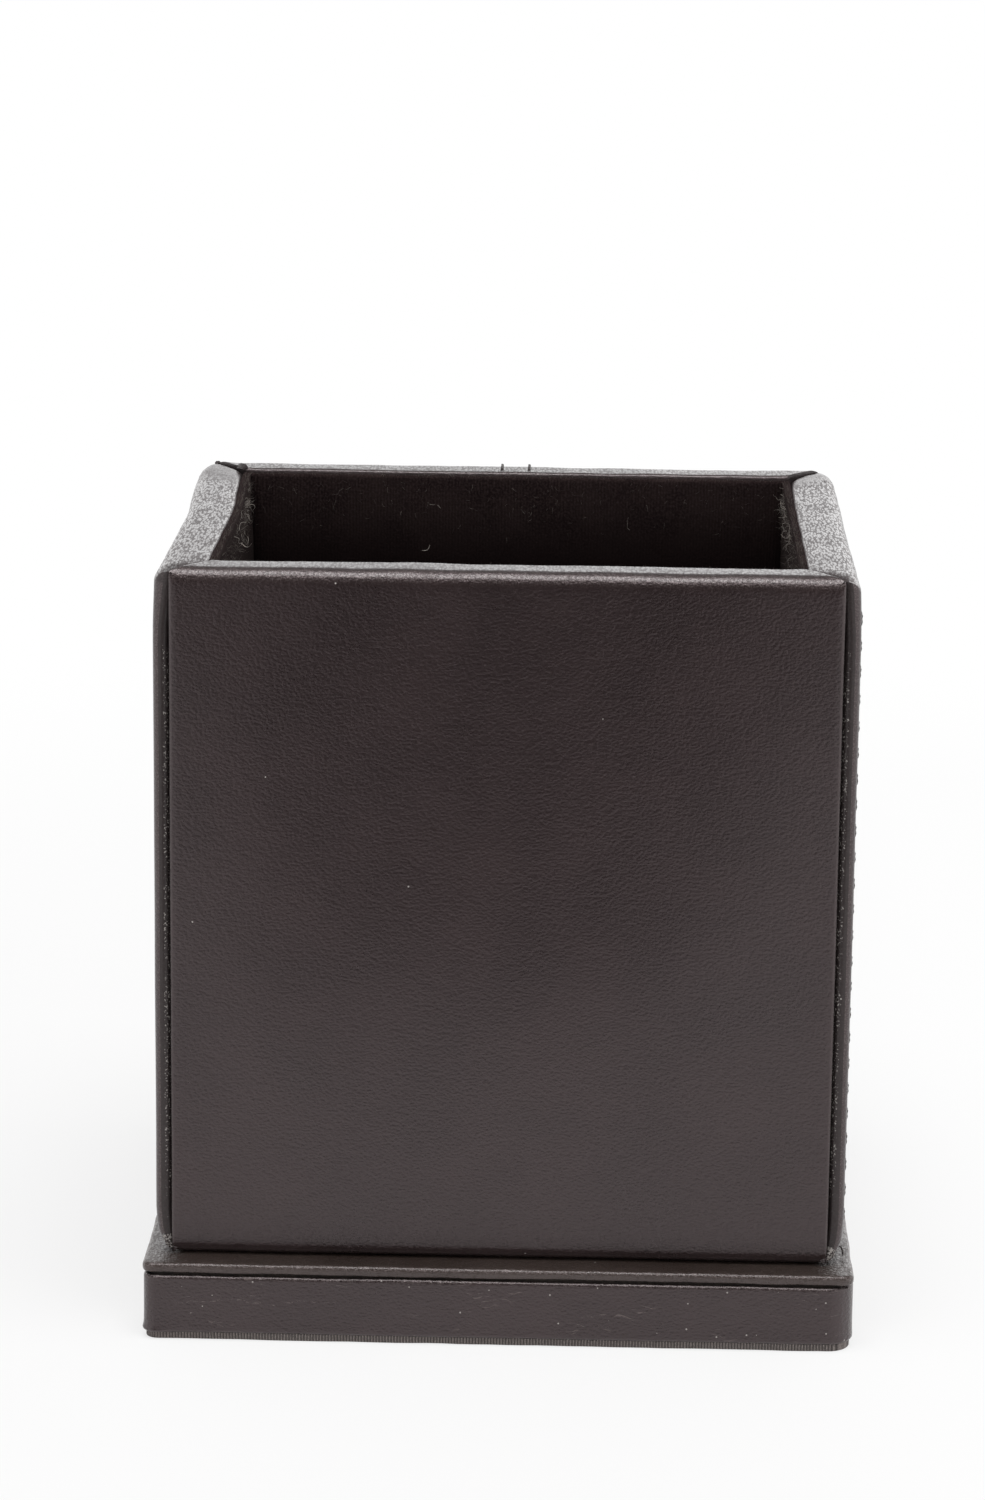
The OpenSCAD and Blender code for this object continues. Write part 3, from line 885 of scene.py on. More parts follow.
def velvet_finish():
    material, tree, shader, place = start_material("velvet")
    tufts = clouded(tree, place, 3.2, 3.0)
    brushed = clouded(tree, place, 0.16, 4.0)
    specks = place_group(tree, dust, Place=place, Spacing=3.5, Speck=0.13, Share=0.16)["Mask"]
    weave = place_group(tree, ribs, Place=place, Spacing=0.43)["Mask"]
    height = axes_of(tree, place)[2]
    colour = mixed(tree, smooth_step(tree, brushed, 0.35, 0.7), DEEP_PILE, BRUSHED_PILE)
    colour = mixed(tree, smooth_step(tree, tufts, 0.35, 0.75), colour, TUFT)
    colour = mixed(tree, times(tree, weave, 0.35), colour, RIB_SHADE)
    # Painted shade: darker down the well.
    colour = mixed(tree, smooth_step(tree, height, DIM_BELOW, FULL_ABOVE), PAINTED_WELL_SHADE, colour)
    colour = mixed(tree, times(tree, specks, 0.4), colour, GREY_SPECK)
    feed(tree, shader, {
        "Base Color": mixed(tree, attribute(tree, "lint"), colour, PALE_LINT),
        "Roughness": smooth_step(tree, tufts, 0.3, 0.7, 0.85, 1.0),
        "Normal": relief(tree, maths(tree, "SUBTRACT", tufts, times(tree, weave, 0.3)), 0.12, 0.8),
        "Specular IOR Level": 0.03,
        "Sheen Weight": 0.03,
        "Sheen Roughness": 0.4,
        "Sheen Tint": (0.5, 0.41, 0.38, 1),
    })
    return material


velvet = velvet_finish()
print("finish:", velvet.name)

# %% [markdown]
# ## Lining pieces
# Each lining is a thin slab with mitred ends, eased along its top edge and made slightly uneven.
# A cut velvet edge sheds: short pile stands along the top edge, finer fuzz below it, and pale curled
# lint has caught on the side linings, most of it near the back corners. A fibre is a thin three-sided
# tube, rings along a path that are bridged, made once with a few dozen faces and stamped with a
# seeded random, so that each run gives the same box. The same tube makes the plies of the thread.

# %% Tubes along a path
def tube(bm, path, radius, sides, taper=0.0):
    """Rings along a path that stays near the YZ plane, bridged into a closed tube."""
    before = None
    last = len(path) - 1
    for i, point in enumerate(path):
        run = (path[min(i + 1, last)] - path[max(i - 1, 0)]).normalized()
        up = run.cross(Vector((1, 0, 0))).normalized()
        facing = Matrix((up.cross(run), up, run)).transposed().to_4x4()
        ring = bmesh.ops.create_circle(bm, cap_ends=i in (0, last), segments=sides,
                                       radius=radius * (1 - taper * i / last),
                                       matrix=Matrix.Translation(point) @ facing)["verts"]
        edges = {edge for vert in ring for edge in vert.link_edges}
        if before:
            bmesh.ops.bridge_loops(bm, edges=list(edges | before))
        before = edges


def fibre(path, radius, lint):
    """A fibre about one unit long that rises along Z, with its own share of pale lint."""
    bm = bmesh.new()
    marks = layer(bm, "lint")
    tube(bm, path, radius, 3, 0.6)
    for vert in bm.verts:
        vert[marks] = lint
    bmesh.ops.recalc_face_normals(bm, faces=bm.faces)
    return pattern_of(bm)


print("tube helpers ready")

# %% Patterns of fibres
FIBRE_STEPS, CURL_STEPS = 4, 9


def bent(bend):
    shares = [step / FIBRE_STEPS for step in range(FIBRE_STEPS + 1)]
    return [Vector((0, bend * share * share, share)) for share in shares]


def curled(width, turns):
    path = []
    for step in range(CURL_STEPS + 1):
        share = step / CURL_STEPS
        angle = 2 * math.pi * turns * share
        rise = share + 0.4 * width * math.cos(angle)
        path.append(Vector((0.06 * math.sin(2 * angle), width * math.sin(angle), rise)))
    return path


PILE = [fibre(bent(0.2), 0.045, 0.04), fibre(bent(0.4), 0.045, 0.1), fibre(bent(-0.3), 0.045, 0.22)]
LINT = [fibre(curled(0.12, 0.7), 0.018, 0.45), fibre(curled(0.16, 1.2), 0.016, 0.75),
        fibre(curled(0.3, 0.5), 0.018, 1.0)]
FUZZ = [fibre(bent(0.5), 0.028, 0.05), fibre(bent(0.3), 0.024, 0.14), fibre(bent(-0.4), 0.02, 0.28)]
print("fibre patterns:", len(PILE) + len(LINT) + len(FUZZ))

# %% Scattering fibres
PILE_COUNT = 420
LINT_COUNT = {"front": 4, "right": 44, "back": 3, "left": 44}
FUZZ_COUNT = {"front": 150, "right": 700, "back": 250, "left": 700}
ROOT_IN = 0.03 * MM
FULL_SPIN = 6.28


def set_fibre(bm, pattern, root, aim, length, spin):
    facing = aim.to_track_quat("Z", "Y").to_matrix().to_4x4() @ Matrix.Rotation(spin, 4, "Z")
    stamp(bm, pattern, Matrix.Translation(root) @ facing @ Matrix.Scale(length, 4))


def shed_pile(bm, chance, reach):
    """Short pile that stands along the top edge."""
    for _ in range(PILE_COUNT):
        depth = chance.uniform(wall + 0.3 * MM, lining_face - 0.1 * MM)
        root = Vector((chance.uniform(-1, 1) * reach, depth, lining_top - 0.15 * MM))
        aim = Vector((chance.gauss(0, 0.4), chance.gauss(0.35, 0.35), 1))
        pattern = chance.choice(PILE)
        length = chance.uniform(0.3, 0.7) * MM
        set_fibre(bm, pattern, root, aim, length, chance.uniform(0, FULL_SPIN))


def lint_place(side, chance, reach):
    """Where a lint catches: thick on the back half of the side walls, thinly along the others."""
    if side in WRAPPED:
        return BACK_END[side] * (reach - chance.uniform(2, 40) * MM), chance.triangular(0.5, 5, 1) * MM
    return chance.uniform(-1, 1) * reach, chance.uniform(2, 12) * MM


def catch_lint(bm, chance, reach, side):
    """Pale curls that hang on the face of the lining."""
    for _ in range(LINT_COUNT[side]):
        x, drop = lint_place(side, chance, reach)
        root = Vector((x, lining_face - ROOT_IN, lining_top - drop))
        aim = Vector((chance.gauss(0, 0.5), chance.uniform(0.1, 0.4), chance.gauss(0, 0.8)))
        length = min(chance.uniform(1.0, 2.6) * MM, 0.8 * drop + 0.4 * MM)
        pattern = chance.choice(LINT)
        set_fibre(bm, pattern, root, aim, length, chance.uniform(0, FULL_SPIN))


def raise_fuzz(bm, chance, reach, side):
    """Fine hairs that stand out of the face below the top edge."""
    for _ in range(FUZZ_COUNT[side]):
        drop = chance.triangular(0.6, 9, 1) * MM
        root = Vector((chance.uniform(-1, 1) * reach, lining_face - ROOT_IN, lining_top - drop))
        aim = Vector((chance.gauss(0, 0.6), chance.uniform(0.3, 0.8), chance.gauss(0, 0.6)))
        pattern = chance.choice(FUZZ)
        length = chance.uniform(0.4, 1.0) * MM
        set_fibre(bm, pattern, root, aim, length, chance.uniform(0, FULL_SPIN))


print("fibres on the right lining:", PILE_COUNT + LINT_COUNT["right"] + FUZZ_COUNT["right"])

# %% Wall linings
LINING_STEP = 1.6 * MM
LINING_R = 0.4 * MM
TOP_CUTS = [gap * MM for gap in (0.12, 0.25, 0.4, 0.8, 1.4)]
PILE_CUTS = [wall + 0.6 * MM, wall + 0.75 * MM, wall + 0.88 * MM]


def on_pile(co):
    return float(co.y > wall + 0.3 * MM)


def lining_slab(side, seed):
    half = HALF[side]
    cuts = (strips(-half, half, LINING_STEP), PILE_CUTS,
            strips(lining_foot, lining_top, LINING_STEP, (), TOP_CUTS))
    bm = cut_block(Vector((-half, wall, lining_foot)), Vector((half, lining_face, lining_top)), cuts)
    mitre(bm, side)
    planes = planes_of(side, lining_face, lining_foot, lining_top)
    ease(bm, planes["inner"], planes["top"], LINING_R)
    layer(bm, "lint")
    ruffle(bm, 0.1 * MM, 3 * MM, seed, on_pile)
    chance = random.Random(seed)
    reach = half - lining_face - 0.5 * MM
    shed_pile(bm, chance, reach)
    catch_lint(bm, chance, reach, side)
    raise_fuzz(bm, chance, reach, side)
    set_up(bm, side)
    make_piece(side + "_velvet", bm, velvet, "velvet", side + "_lining")


for number, side in enumerate(SIDES):
    lining_slab(side, 20 + number)

# %% [markdown]
# The floor of the well carries a looser piece of the same velvet. It is a slab with eased edges
# and a slightly padded top.

# %% Floor lining
pad_low, pad_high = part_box("floor_lining")
PAD_STEP, PAD_R = 1.8 * MM, 0.6 * MM
bm = cut_block(pad_low, pad_high, [strips(pad_low[i], pad_high[i], PAD_STEP) for i in range(2)])
layer(bm, "lint")
top = (pad_high, Vector((0, 0, 1)))
for way in (Vector((1, 0, 0)), Vector((0, 1, 0))):
    ease(bm, top, (pad_high, way), PAD_R)
for way in (Vector((-1, 0, 0)), Vector((0, -1, 0))):
    ease(bm, top, (pad_low, way), PAD_R)
pad_middle = (pad_low.z + pad_high.z) / 2
ruffle(bm, 0.12 * MM, 4 * MM, 31, lambda co: float(co.z > pad_middle))
make_piece("floor_velvet", bm, velvet, "velvet", "floor_lining")

# %% [markdown]
# ## Plinth
# The plinth is a board with a leather band glued round its edge and, on top, a card wrapped in
# leather that overhangs the band by a hair. Here all the edges at a corner have one radius, so
# the bevel operator rounds them: first the upright corners, of which the front left one is
# tighter than the others, then the loops of the top and the underside. Slices through the
# bevelled block give it enough vertices to be wavy.

# %% Helpers for the plinth
CORNER_SEGMENTS, LOOP_SEGMENTS = 8, 5


def bevel(bm, edges, radius, segments):
    bmesh.ops.bevel(bm, geom=edges, offset=radius, offset_type="OFFSET", segments=segments, profile=0.5,
                    affect="EDGES", material=-1)


def rounded_block(low, high, corners, top_radius, foot_radius, step):
    """A block with a radius for its front left corner and one for the others, sliced for waviness."""
    bm = cut_block(low, high)
    upright = [edge for edge in bm.edges if abs(edge.verts[0].co.z - edge.verts[1].co.z) > 0.1 * MM]
    tight = [edge for edge in upright if max(edge.verts[0].co.x, edge.verts[0].co.y) < 0]
    others = [edge for edge in upright if edge not in tight]
    for edges, corner in zip((tight, others), corners):
        bevel(bm, edges, corner, CORNER_SEGMENTS)
    for level, radius in ((high.z, top_radius), (low.z, foot_radius)):
        if radius:
            loop = [edge for edge in bm.edges if all(abs(vert.co.z - level) < 1e-6 for vert in edge.verts)]
            bevel(bm, loop, radius, LOOP_SEGMENTS)
    for axis in range(2):
        slice_at(bm, axis, strips(low[axis], high[axis], step))
    return bm


def mark_wear_and_glint(bm, low, high, radius):
    """Marks vertices on the rounds of the upper rim as paler from rubbing, partly painted highlight and
    glints.
    """
    marks = layer(bm, "wear_and_glint")
    for vert in bm.verts:
        out = min(vert.co.x - low.x, high.x - vert.co.x, vert.co.y - low.y, high.y - vert.co.y)
        down = high.z - vert.co.z
        vert[marks] = fall(abs(out - down), radius) if out < radius and down < radius else 0.0


print("segments of a corner:", CORNER_SEGMENTS)

# %% [markdown]
# The plate's leather is the outside of such a block without its underside. Its edges are wavy and
# its lower edge draws in a little. The right and front edges lie a hair further in than on the CAD
# plate, as in the photograph.

# %% The plate's leather
plate_low, plate_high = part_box("plate_leather")
PLATE_CORNERS = (1.4 * MM, 1.6 * MM)
PLATE_EDGE, PLATE_FOOT = 0.6 * MM, 0.2 * MM
PLATE_STEP = 1.6 * MM
PLATE_SKIN = 0.55 * MM
PLATE_OPEN = 0.55
PLATE_SLIP, PLATE_BACK, PLATE_DROP = 0.16 * MM, 0.3 * MM, 0.1 * MM
UNDERCUT, UNDERCUT_HIGH = 0.1 * MM, 0.8 * MM
bm = rounded_block(plate_low, plate_high, PLATE_CORNERS, PLATE_EDGE, PLATE_FOOT, PLATE_STEP)
layer(bm, "cut_and_shade")
layer(bm, "dusty")
stretched = layer(bm, "open")
# The plate's crest is painted paler and flecked: partly wear, partly painted highlight.
mark_wear_and_glint(bm, plate_low, plate_high, PLATE_EDGE)


def near_edge(co):
    return 1 - min(1.0, min(plate_high.x - abs(co.x), plate_high.y - abs(co.y)) / (4 * MM))


for vert in bm.verts:
    lower = fall(vert.co.z - plate_low.z, UNDERCUT_HIGH)
    shrink = 1 - UNDERCUT * lower * near_edge(vert.co) / plate_high.x
    vert[stretched] = PLATE_OPEN * ramp((vert.co.z - plate_high.z) / (0.5 * MM) + 1)
    vert.co.x = vert.co.x * shrink - PLATE_SLIP * near_edge(vert.co) * float(vert.co.x > 0)
    in_front = ramp((-vert.co.y - 40 * MM) / (4 * MM))
    vert.co.y = vert.co.y * shrink + PLATE_BACK * near_edge(vert.co) * in_front
    vert.co.z -= PLATE_DROP * lower
ruffle(bm, 0.14 * MM, 5 * MM, 41, near_edge)
ruffle(bm, 0.05 * MM, 2.4 * MM, 43, near_edge)
ruffle(bm, 0.05 * MM, 12 * MM, 42)
under = [face for face in bm.faces if face.normal.z < -0.9]
bmesh.ops.delete(bm, geom=under, context="FACES")
thicken(make_piece("plate_skin", bm, plate_finish, "plate_leather", "plate_leather"), PLATE_SKIN)

# %% [markdown]
# The band is one strip whose ends meet at the middle of the back. Its upper edge is a raw cut that
# catches the light as a thin line, with a dark groove between it and the plate, and its lower edge
# is pressed out a little where the box has stood on it, most at the front left corner. Along the
# upper edge the colour is painted paler and flecked, partly as a pale raw edge and partly as a
# painted highlight. It is the outside of a rounded block without its top and underside, opened at
# the seam and given its thickness.

# %% The band as a strip
band_low, band_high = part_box("plinth_band")
BAND_CORNERS = (1.8 * MM, 3.4 * MM)
BAND_STEP = 1.5 * MM
BAND_T = 1.0 * MM
BAND_CUTS = [gap * MM for gap in (0.03, 0.08, 0.15, 0.22, 0.3, 0.42, 0.6, 1.0)]
SEAM = 0.1 * MM
bm = rounded_block(band_low, band_high, BAND_CORNERS, 0, 0, BAND_STEP)
caps = [face for face in bm.faces if abs(face.normal.z) > 0.9]
bmesh.ops.delete(bm, geom=caps, context="FACES")
slice_at(bm, 0, (-SEAM, SEAM))
slice_at(bm, 2, strips(band_low.z, band_high.z, BAND_STEP, BAND_CUTS, BAND_CUTS))
centres = {face: face.calc_center_median() for face in bm.faces}
gap = [face for face, centre in centres.items() if abs(centre.x) < SEAM and centre.y > 0]
bmesh.ops.delete(bm, geom=gap, context="FACES")
print("band faces:", len(bm.faces))

# %% The band's edges
BAND_OPEN = 0.02
TOP_ROUND, TOP_RISE = 0.42 * MM, 0.18 * MM
FOOT_TURN, FOOT_PRESS = 0.2 * MM, 0.06 * MM
NUB_FROM, NUB_RUN = 41 * MM, 3 * MM
LEFT_SLIP = 0.05 * MM
BAND_WAVE = 0.07 * MM
wear_and_glint = layer(bm, "wear_and_glint")
layer(bm, "cut_and_shade")
layer(bm, "dusty")
stretched = layer(bm, "open")
bm.normal_update()
for vert in bm.verts:
    up, down = band_high.z - vert.co.z, vert.co.z - band_low.z
    # The upper edge is marked for paler, flecked colour: partly a raw edge, partly painted highlight.
    vert[wear_and_glint] = fall(up, 0.5 * MM)
    vert[stretched] = BAND_OPEN
    rounded = TOP_ROUND - math.sqrt(max(0.0, TOP_ROUND ** 2 - max(0.0, TOP_ROUND - up) ** 2))
    turned = fall(down, 0.3 * MM) ** 2
    pressed = fall(abs(down - 0.5 * MM), 0.9 * MM)
    nub = ramp((-vert.co.x - NUB_FROM) / NUB_RUN) * ramp((-vert.co.y - NUB_FROM) / NUB_RUN)
    pressed += 4 * nub * fall(down, 0.7 * MM)
    vert.co += vert.normal * (FOOT_PRESS * pressed - FOOT_TURN * turned - rounded)
    vert.co.x += LEFT_SLIP * ramp((-vert.co.x - 38 * MM) / (5 * MM))
    vert.co.z += TOP_RISE * fall(up, 1 * MM)
    vert.co.z += BAND_WAVE * noise.noise(vert.co / (9 * MM)) * down / (band_high.z - band_low.z)
ruffle(bm, 0.08 * MM, 11 * MM, 51)
thicken(make_piece("band_strip", bm, band_finish, "band_leather", "plinth_band"), BAND_T)

# %% [markdown]
# ## Cloth under the plinth
# The underside is closed by a ribbed cloth, of which only the edge shows, a little lighter than the
# leather. Its ribs stand upright on that edge, 0.38 mm apart.

# %% Base cloth
CLOTH_SHADE, CLOTH_RIB = (0.06, 0.05, 0.047, 1), (0.28, 0.24, 0.225, 1)
CLOTH_GROW = Vector((0.25, 0.25, 0.0)) * MM
CLOTH_CORNERS = (1.6 * MM, 3.0 * MM)
CLOTH_EDGE, CLOTH_STEP = 0.15 * MM, 2.0 * MM


def cloth_finish():
    material, tree, shader, place = start_material("base_cloth")
    weave = place_group(tree, ribs, Place=place, Spacing=0.38)["Mask"]
    fuzz = clouded(tree, place, 4.0, 3.0)
    both = times(tree, weave, smooth_step(tree, fuzz, 0.25, 0.7, 0.4, 1.0))
    feed(tree, shader, {
        "Base Color": mixed(tree, both, CLOTH_SHADE, CLOTH_RIB),
        "Roughness": smooth_step(tree, fuzz, 0.3, 0.7, 0.8, 1.0),
        "Normal": relief(tree, both, 0.15, 0.8),
        "Sheen Weight": 0.15,
    })
    return material


base_cloth = cloth_finish()
cloth_low, cloth_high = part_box("base_cloth")
cloth_low, cloth_high = cloth_low - CLOTH_GROW, cloth_high + CLOTH_GROW


def on_cloth_edge(co):
    return float(min(cloth_high.x - abs(co.x), cloth_high.y - abs(co.y)) < 1 * MM)


bm = rounded_block(cloth_low, cloth_high, CLOTH_CORNERS, CLOTH_EDGE, CLOTH_EDGE, CLOTH_STEP)
ruffle(bm, 0.1 * MM, 5 * MM, 61, on_cloth_edge)
make_piece("foot_cloth", bm, base_cloth, "base_cloth", "base_cloth")

# %% [markdown]
# ## Finishes of thread and board
# Thread and board both show felted fibres in two browns, so one function makes both finishes: a
# noise blends the colours, dulls the lighter one and lifts it a little.

# %% Thread and board finishes
def fibre_finish(name, texture, shades, blend, dull, strength, sheen):
    """Fibres from a noise of (scale, detail, roughness), in two shades that blend over a range."""
    material, tree, shader, place = start_material(name)
    fibres = clouded(tree, place, *texture)
    feed(tree, shader, {
        "Base Color": mixed(tree, smooth_step(tree, fibres, *blend), *shades),
        "Roughness": smooth_step(tree, fibres, 0.3, 0.7, *dull),
        "Normal": relief(tree, fibres, FIBRE_DEPTH, strength),
        "Sheen Weight": sheen,
    })
    return material


FIBRE_DEPTH = 0.05
THREAD_BROWNS = ((0.022, 0.0155, 0.015, 1), (0.06, 0.045, 0.042, 1))
BOARD_BROWNS = ((0.02, 0.015, 0.013, 1), (0.055, 0.042, 0.036, 1))
thread_dye = fibre_finish("thread", (9.0, 3.0, 0.5), THREAD_BROWNS, blend=(0.3, 0.75), dull=(0.5, 0.75),
                          strength=0.6, sheen=0.2)
board = fibre_finish("board", (1.4, 6.0, 0.7), BOARD_BROWNS, blend=(0.35, 0.7), dull=(0.8, 0.95),
                     strength=0.5, sheen=0.0)
print("finishes:", thread_dye.name, board.name)

# %% [markdown]
# ## Thread
# Dark thread is sewn in rows along the upright edges of the side walls and down the middle of the
# back. A stitch is two plies twisted round each other: each ply is a chain of small rings, bridged,
# that winds round a short arch out of the leather and back in. One stitch is made once and copied
# up its row; small seeded turns keep the copies from looking stamped.

# %% Twisted thread
PLY_OUT, PLY_SHARE = 0.44, 0.56


def twist(path, thread_radius, pitch, sides=6):
    """Two plies wound round a path of (y, z) points at x 0, as a pattern."""
    bm = bmesh.new()
    side = Vector((1, 0, 0))
    points = [Vector((0, *point)) for point in path]
    last = len(points) - 1
    for start in (0.0, math.pi):
        angle = start
        ply = []
        for i, point in enumerate(points):
            up = (points[min(i + 1, last)] - points[max(i - 1, 0)]).normalized().cross(side)
            if i:
                angle += (point - points[i - 1]).length / pitch * 2 * math.pi
            ply.append(point + (side * math.cos(angle) + up * math.sin(angle)) * thread_radius * PLY_OUT)
        tube(bm, ply, thread_radius * PLY_SHARE, sides)
    bmesh.ops.recalc_face_normals(bm, faces=bm.faces)
    return pattern_of(bm)


def stitch_arch(length, sink_in, rise, steps=9):
    """A flat arch from the hole at one end to the hole at the other."""
    points = []
    for i in range(steps + 1):
        angle = math.pi * i / steps
        run = math.copysign(abs(math.cos(angle)) ** 0.6, math.cos(angle))
        points.append((sink_in - (sink_in + rise) * math.sin(angle) ** 0.6, -run * length / 2))
    return points


print("points of a stitch:", len(stitch_arch(1, 1, 1)))

# %% [markdown]
# The last stitch of each back row runs over the rim and into it, and the right front row ends at
# the foot in a loose tail that bends over in a hook. Both are paths of points that are twisted in
# the same way.

# %% Patterns of stitches
THREAD_R, PLY_R, TAIL_R = 0.22 * MM, 0.17 * MM, 0.13 * MM
STITCH, STITCH_PITCH, STITCH_COUNT = 2.0 * MM, 3.35 * MM, 24
ROW_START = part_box("right_front_stitching")[0].z + STITCH / 2 + THREAD_R
LOOP_START = ROW_START + (STITCH_COUNT - 1) * STITCH_PITCH - STITCH / 2
TAIL_POINTS = [(2.5, 0.7), (2.0, 0.8), (1.4, 1.05), (0.85, 1.35), (0.45, 1.5), (0.15, 1.35), (0.0, 1.0),
               (-0.08, 0.6), (-0.12, 0.25)]


def rim_path():
    """From the top hole of a back row over the rim and into it."""
    over = THREAD_R + 0.02 * MM
    path = [(0.6 * MM, LOOP_START), (-0.5 * over, LOOP_START + 0.2 * MM), (-over, LOOP_START + 0.8 * MM),
            (-over, rim - 4.0 * MM), (-over, rim - 3.0 * MM)]
    for i in range(8):
        angle = math.pi / 2 * i / 7
        depth = RIM_R - (RIM_R + over) * math.cos(angle)
        path.append((depth, rim - RIM_R + (RIM_R + over) * math.sin(angle)))
    return path + [(2.7 * MM, rim + over), (3.5 * MM, rim + over), (4.2 * MM, rim + 0.5 * over),
                   (4.5 * MM, rim - 0.5 * MM)]


tail_path = [(depth * MM, foot + height * MM) for depth, height in TAIL_POINTS]
STITCH_PATTERN = twist(stitch_arch(STITCH + THREAD_R, 0.7 * MM, 0.07 * MM), PLY_R, 1.5 * MM)
RIM_PATTERN = twist(rim_path(), THREAD_R, 1.7 * MM)
TAIL_PATTERN = twist(tail_path, TAIL_R, 1.2 * MM, 5)
print("faces of a stitch:", len(STITCH_PATTERN.polygons))

# %% Stitch rows
def stitch_row(name, side, seed, count, extra=None):
    low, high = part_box(name)
    x = (stand(side).inverted() @ ((low + high) / 2)).x
    chance = random.Random(seed)
    bm = bmesh.new()
    for number in range(count):
        aside = Matrix.Rotation(chance.gauss(0, 0.05), 4, "Y")
        tilt = aside @ Matrix.Rotation(chance.gauss(0, 0.03), 4, "X")
        slip = Vector((x + chance.gauss(0, 0.06) * MM, 0, ROW_START + number * STITCH_PITCH))
        stamp(bm, STITCH_PATTERN, Matrix.Translation(slip) @ tilt)
    if extra:
        stamp(bm, extra, Matrix.Translation((x, 0, 0)))
    set_up(bm, side)
    make_piece(name.replace("stitching", "thread"), bm, thread_dye, "thread", name)


stitch_row("right_front_stitching", "right", 71, STITCH_COUNT, TAIL_PATTERN)
stitch_row("right_back_stitching", "right", 72, STITCH_COUNT)
stitch_row("left_front_stitching", "left", 73, STITCH_COUNT)
stitch_row("left_back_stitching", "left", 74, STITCH_COUNT)
stitch_row("back_left_stitching", "back", 81, STITCH_COUNT - 1, RIM_PATTERN)
stitch_row("back_right_stitching", "back", 82, STITCH_COUNT - 1, RIM_PATTERN)

# %% [markdown]
# ## Boards
# The stiff boards inside the walls, the plinth and the plate are the CAD solids themselves. They
# hardly show, but they get the finish of dark greyboard.

# %% Boards
boards = [node for name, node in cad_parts.items() if name.endswith(("_board", "_card"))]
for node in boards:
    node.data.materials.clear()
    node.data.materials.append(board)
print("boards:", len(boards))

# %% [markdown]
# ## Floor, light and background
# The photograph was made on a white sweep. The floor is a plain pale disc; camera rays see it
# mostly as white, and near the box a part of its true shade stays, so that the box keeps a soft
# shadow, which is fainter on the right.

# %% Floor
FLOOR_RADIUS = 9.0
PAPER = (0.88, 0.88, 0.88, 1)
WHITE = (1, 1, 1, 1)


def sweep_finish():
    material, tree, shader, place = start_material("white_sweep")
    feed(tree, shader, {"Base Color": PAPER, "Roughness": 0.9})
    glow = add(tree, "ShaderNodeEmission", {"Color": WHITE, "Strength": 1.0})
    path = add(tree, "ShaderNodeLightPath").outputs
    seen = most(tree, path["Is Camera Ray"], path["Is Transmission Ray"])
    seen = most(tree, seen, path["Is Glossy Ray"])
    away = add(tree, "ShaderNodeVectorMath", {0: place}, operation="LENGTH").outputs["Value"]
    white = most(tree, smooth_step(tree, away, 60.0, 400.0, 0.72, 1.0),
                 smooth_step(tree, axes_of(tree, place)[0], 30.0, 75.0, 0.72, 0.92))
    share = times(tree, seen, white)
    blend = add(tree, "ShaderNodeMixShader", {0: share, 1: shader.outputs[0], 2: glow.outputs[0]})
    feed(tree, tree.nodes["Material Output"], {"Surface": blend.outputs[0]})
    return material


bm = bmesh.new()
bmesh.ops.create_circle(bm, cap_ends=True, segments=96, radius=FLOOR_RADIUS)
floor = show("floor", bm, sweep_finish())
print("floor radius in m:", FLOOR_RADIUS)

# %% [markdown]
# The light is a softbox above and a little in front, at a level where a colour renders about as it
# is written. In front of the box stands a black card that widens upwards. Only reflections see it:
# it keeps the middle of the front face as deep as in the photograph.

# %% Lights
LAMP_PLACE, LAMP_TARGET = Vector((0, -0.2, 1.0)), Vector((0, 0, 0.05))
lamp = bpy.data.lights.new("overhead", "AREA")
lamp.shape = "RECTANGLE"
lamp.size, lamp.size_y = 0.8, 0.5
lamp.energy = 7.5
holder = bpy.data.objects.new("overhead", lamp)
bpy.context.collection.objects.link(holder)
aim = (LAMP_TARGET - LAMP_PLACE).to_track_quat("-Z", "Y")
holder.matrix_world = Matrix.Translation(LAMP_PLACE) @ aim.to_matrix().to_4x4()
print("light in watts:", lamp.energy)

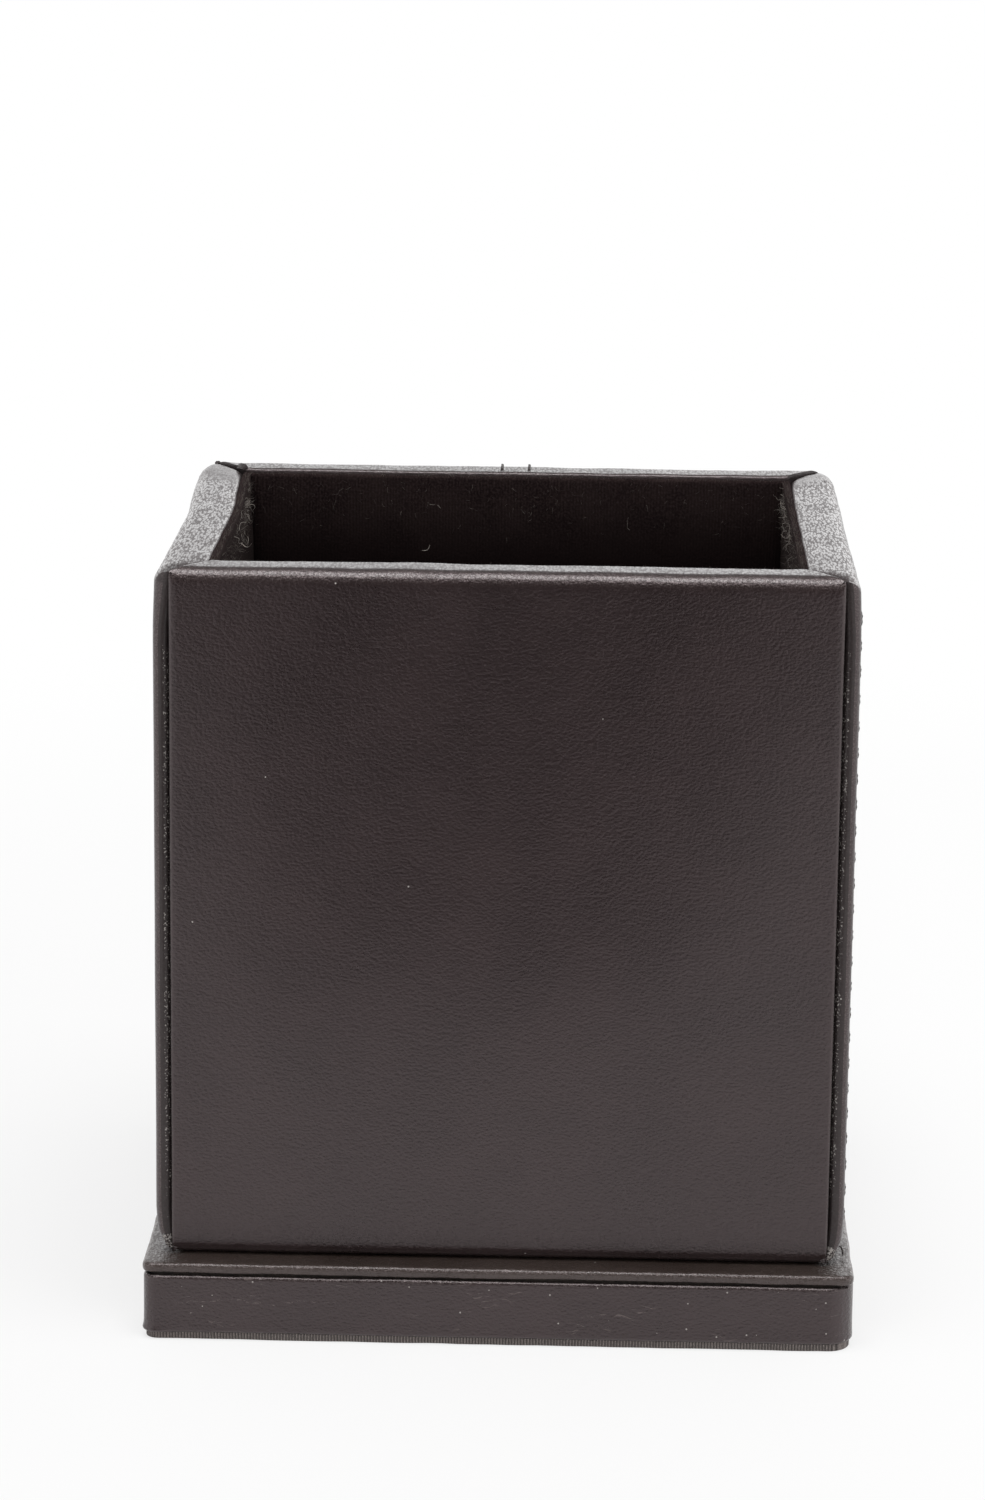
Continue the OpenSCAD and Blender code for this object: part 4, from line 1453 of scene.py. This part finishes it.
# %% Black card
CARD_PLACE = Vector((0, -0.19, 0.125))
CARD_WIDE, CARD_TALL, CARD_WIDENS = 0.062, 0.25, 4.4
CARD_SHIFT, CARD_TOP_SHIFT = -0.012, 0.035
bm = bmesh.new()
upright = Matrix.Translation(CARD_PLACE) @ Matrix.Rotation(math.pi / 2, 4, "X")
size = Matrix.Diagonal((CARD_WIDE, CARD_TALL, 1, 1))
bmesh.ops.create_grid(bm, x_segments=1, y_segments=1, size=0.5, matrix=upright @ size)
upper = [vert for vert in bm.verts if vert.co.z > 0.1]
bmesh.ops.scale(bm, vec=(CARD_WIDENS, 1, 1), verts=upper)
bmesh.ops.translate(bm, vec=(CARD_TOP_SHIFT, 0, 0), verts=upper)
bmesh.ops.translate(bm, vec=(CARD_SHIFT, 0, 0), verts=bm.verts)
black, tree, shader, _ = start_material("black_card")
feed(tree, shader, {"Base Color": (0.01, 0.01, 0.01, 1), "Roughness": 1.0})
card = show("black_card", bm, black)
card.visible_camera = False
card.visible_diffuse = False
card.visible_shadow = False
print("card in m:", CARD_WIDE, "to", round(CARD_WIDE * CARD_WIDENS, 3), "wide and", CARD_TALL, "tall")

# %% [markdown]
# The leather's sheen mirrors the room, so the world is bright low behind the box and a little more
# so on the right, darker higher up, and dim on the camera's side. The camera itself sees it white.

# %% World
ROOM_TOP = 0.22


def level_mix(tree, factor, first, second):
    return add(tree, "ShaderNodeMix", {0: factor, 2: first, 3: second}, data_type="FLOAT").outputs[0]


world = bpy.data.worlds.new("room")
bpy.context.scene.world = world
world.use_nodes = True
room = world.node_tree
room.nodes.clear()
x, y, z = axes_of(room, add(room, "ShaderNodeTexCoord").outputs["Generated"])
around = smooth_step(room, y, -0.99, -0.82, 0.1, 1.2)
around = times(room, around, smooth_step(room, x, -0.1, 0.12, 0.98, 1.2))
level = level_mix(room, smooth_step(room, z, 0.3, 0.65), around, ROOM_TOP)
path = add(room, "ShaderNodeLightPath").outputs
seen = most(room, path["Is Camera Ray"], path["Is Transmission Ray"])
level = level_mix(room, seen, level, 1.0)
glow = add(room, "ShaderNodeBackground", {"Color": WHITE, "Strength": level})
add(room, "ShaderNodeOutputWorld", {"Surface": glow.outputs[0]})
bpy.context.scene.view_settings.view_transform = "Standard"
print("world:", world.name)
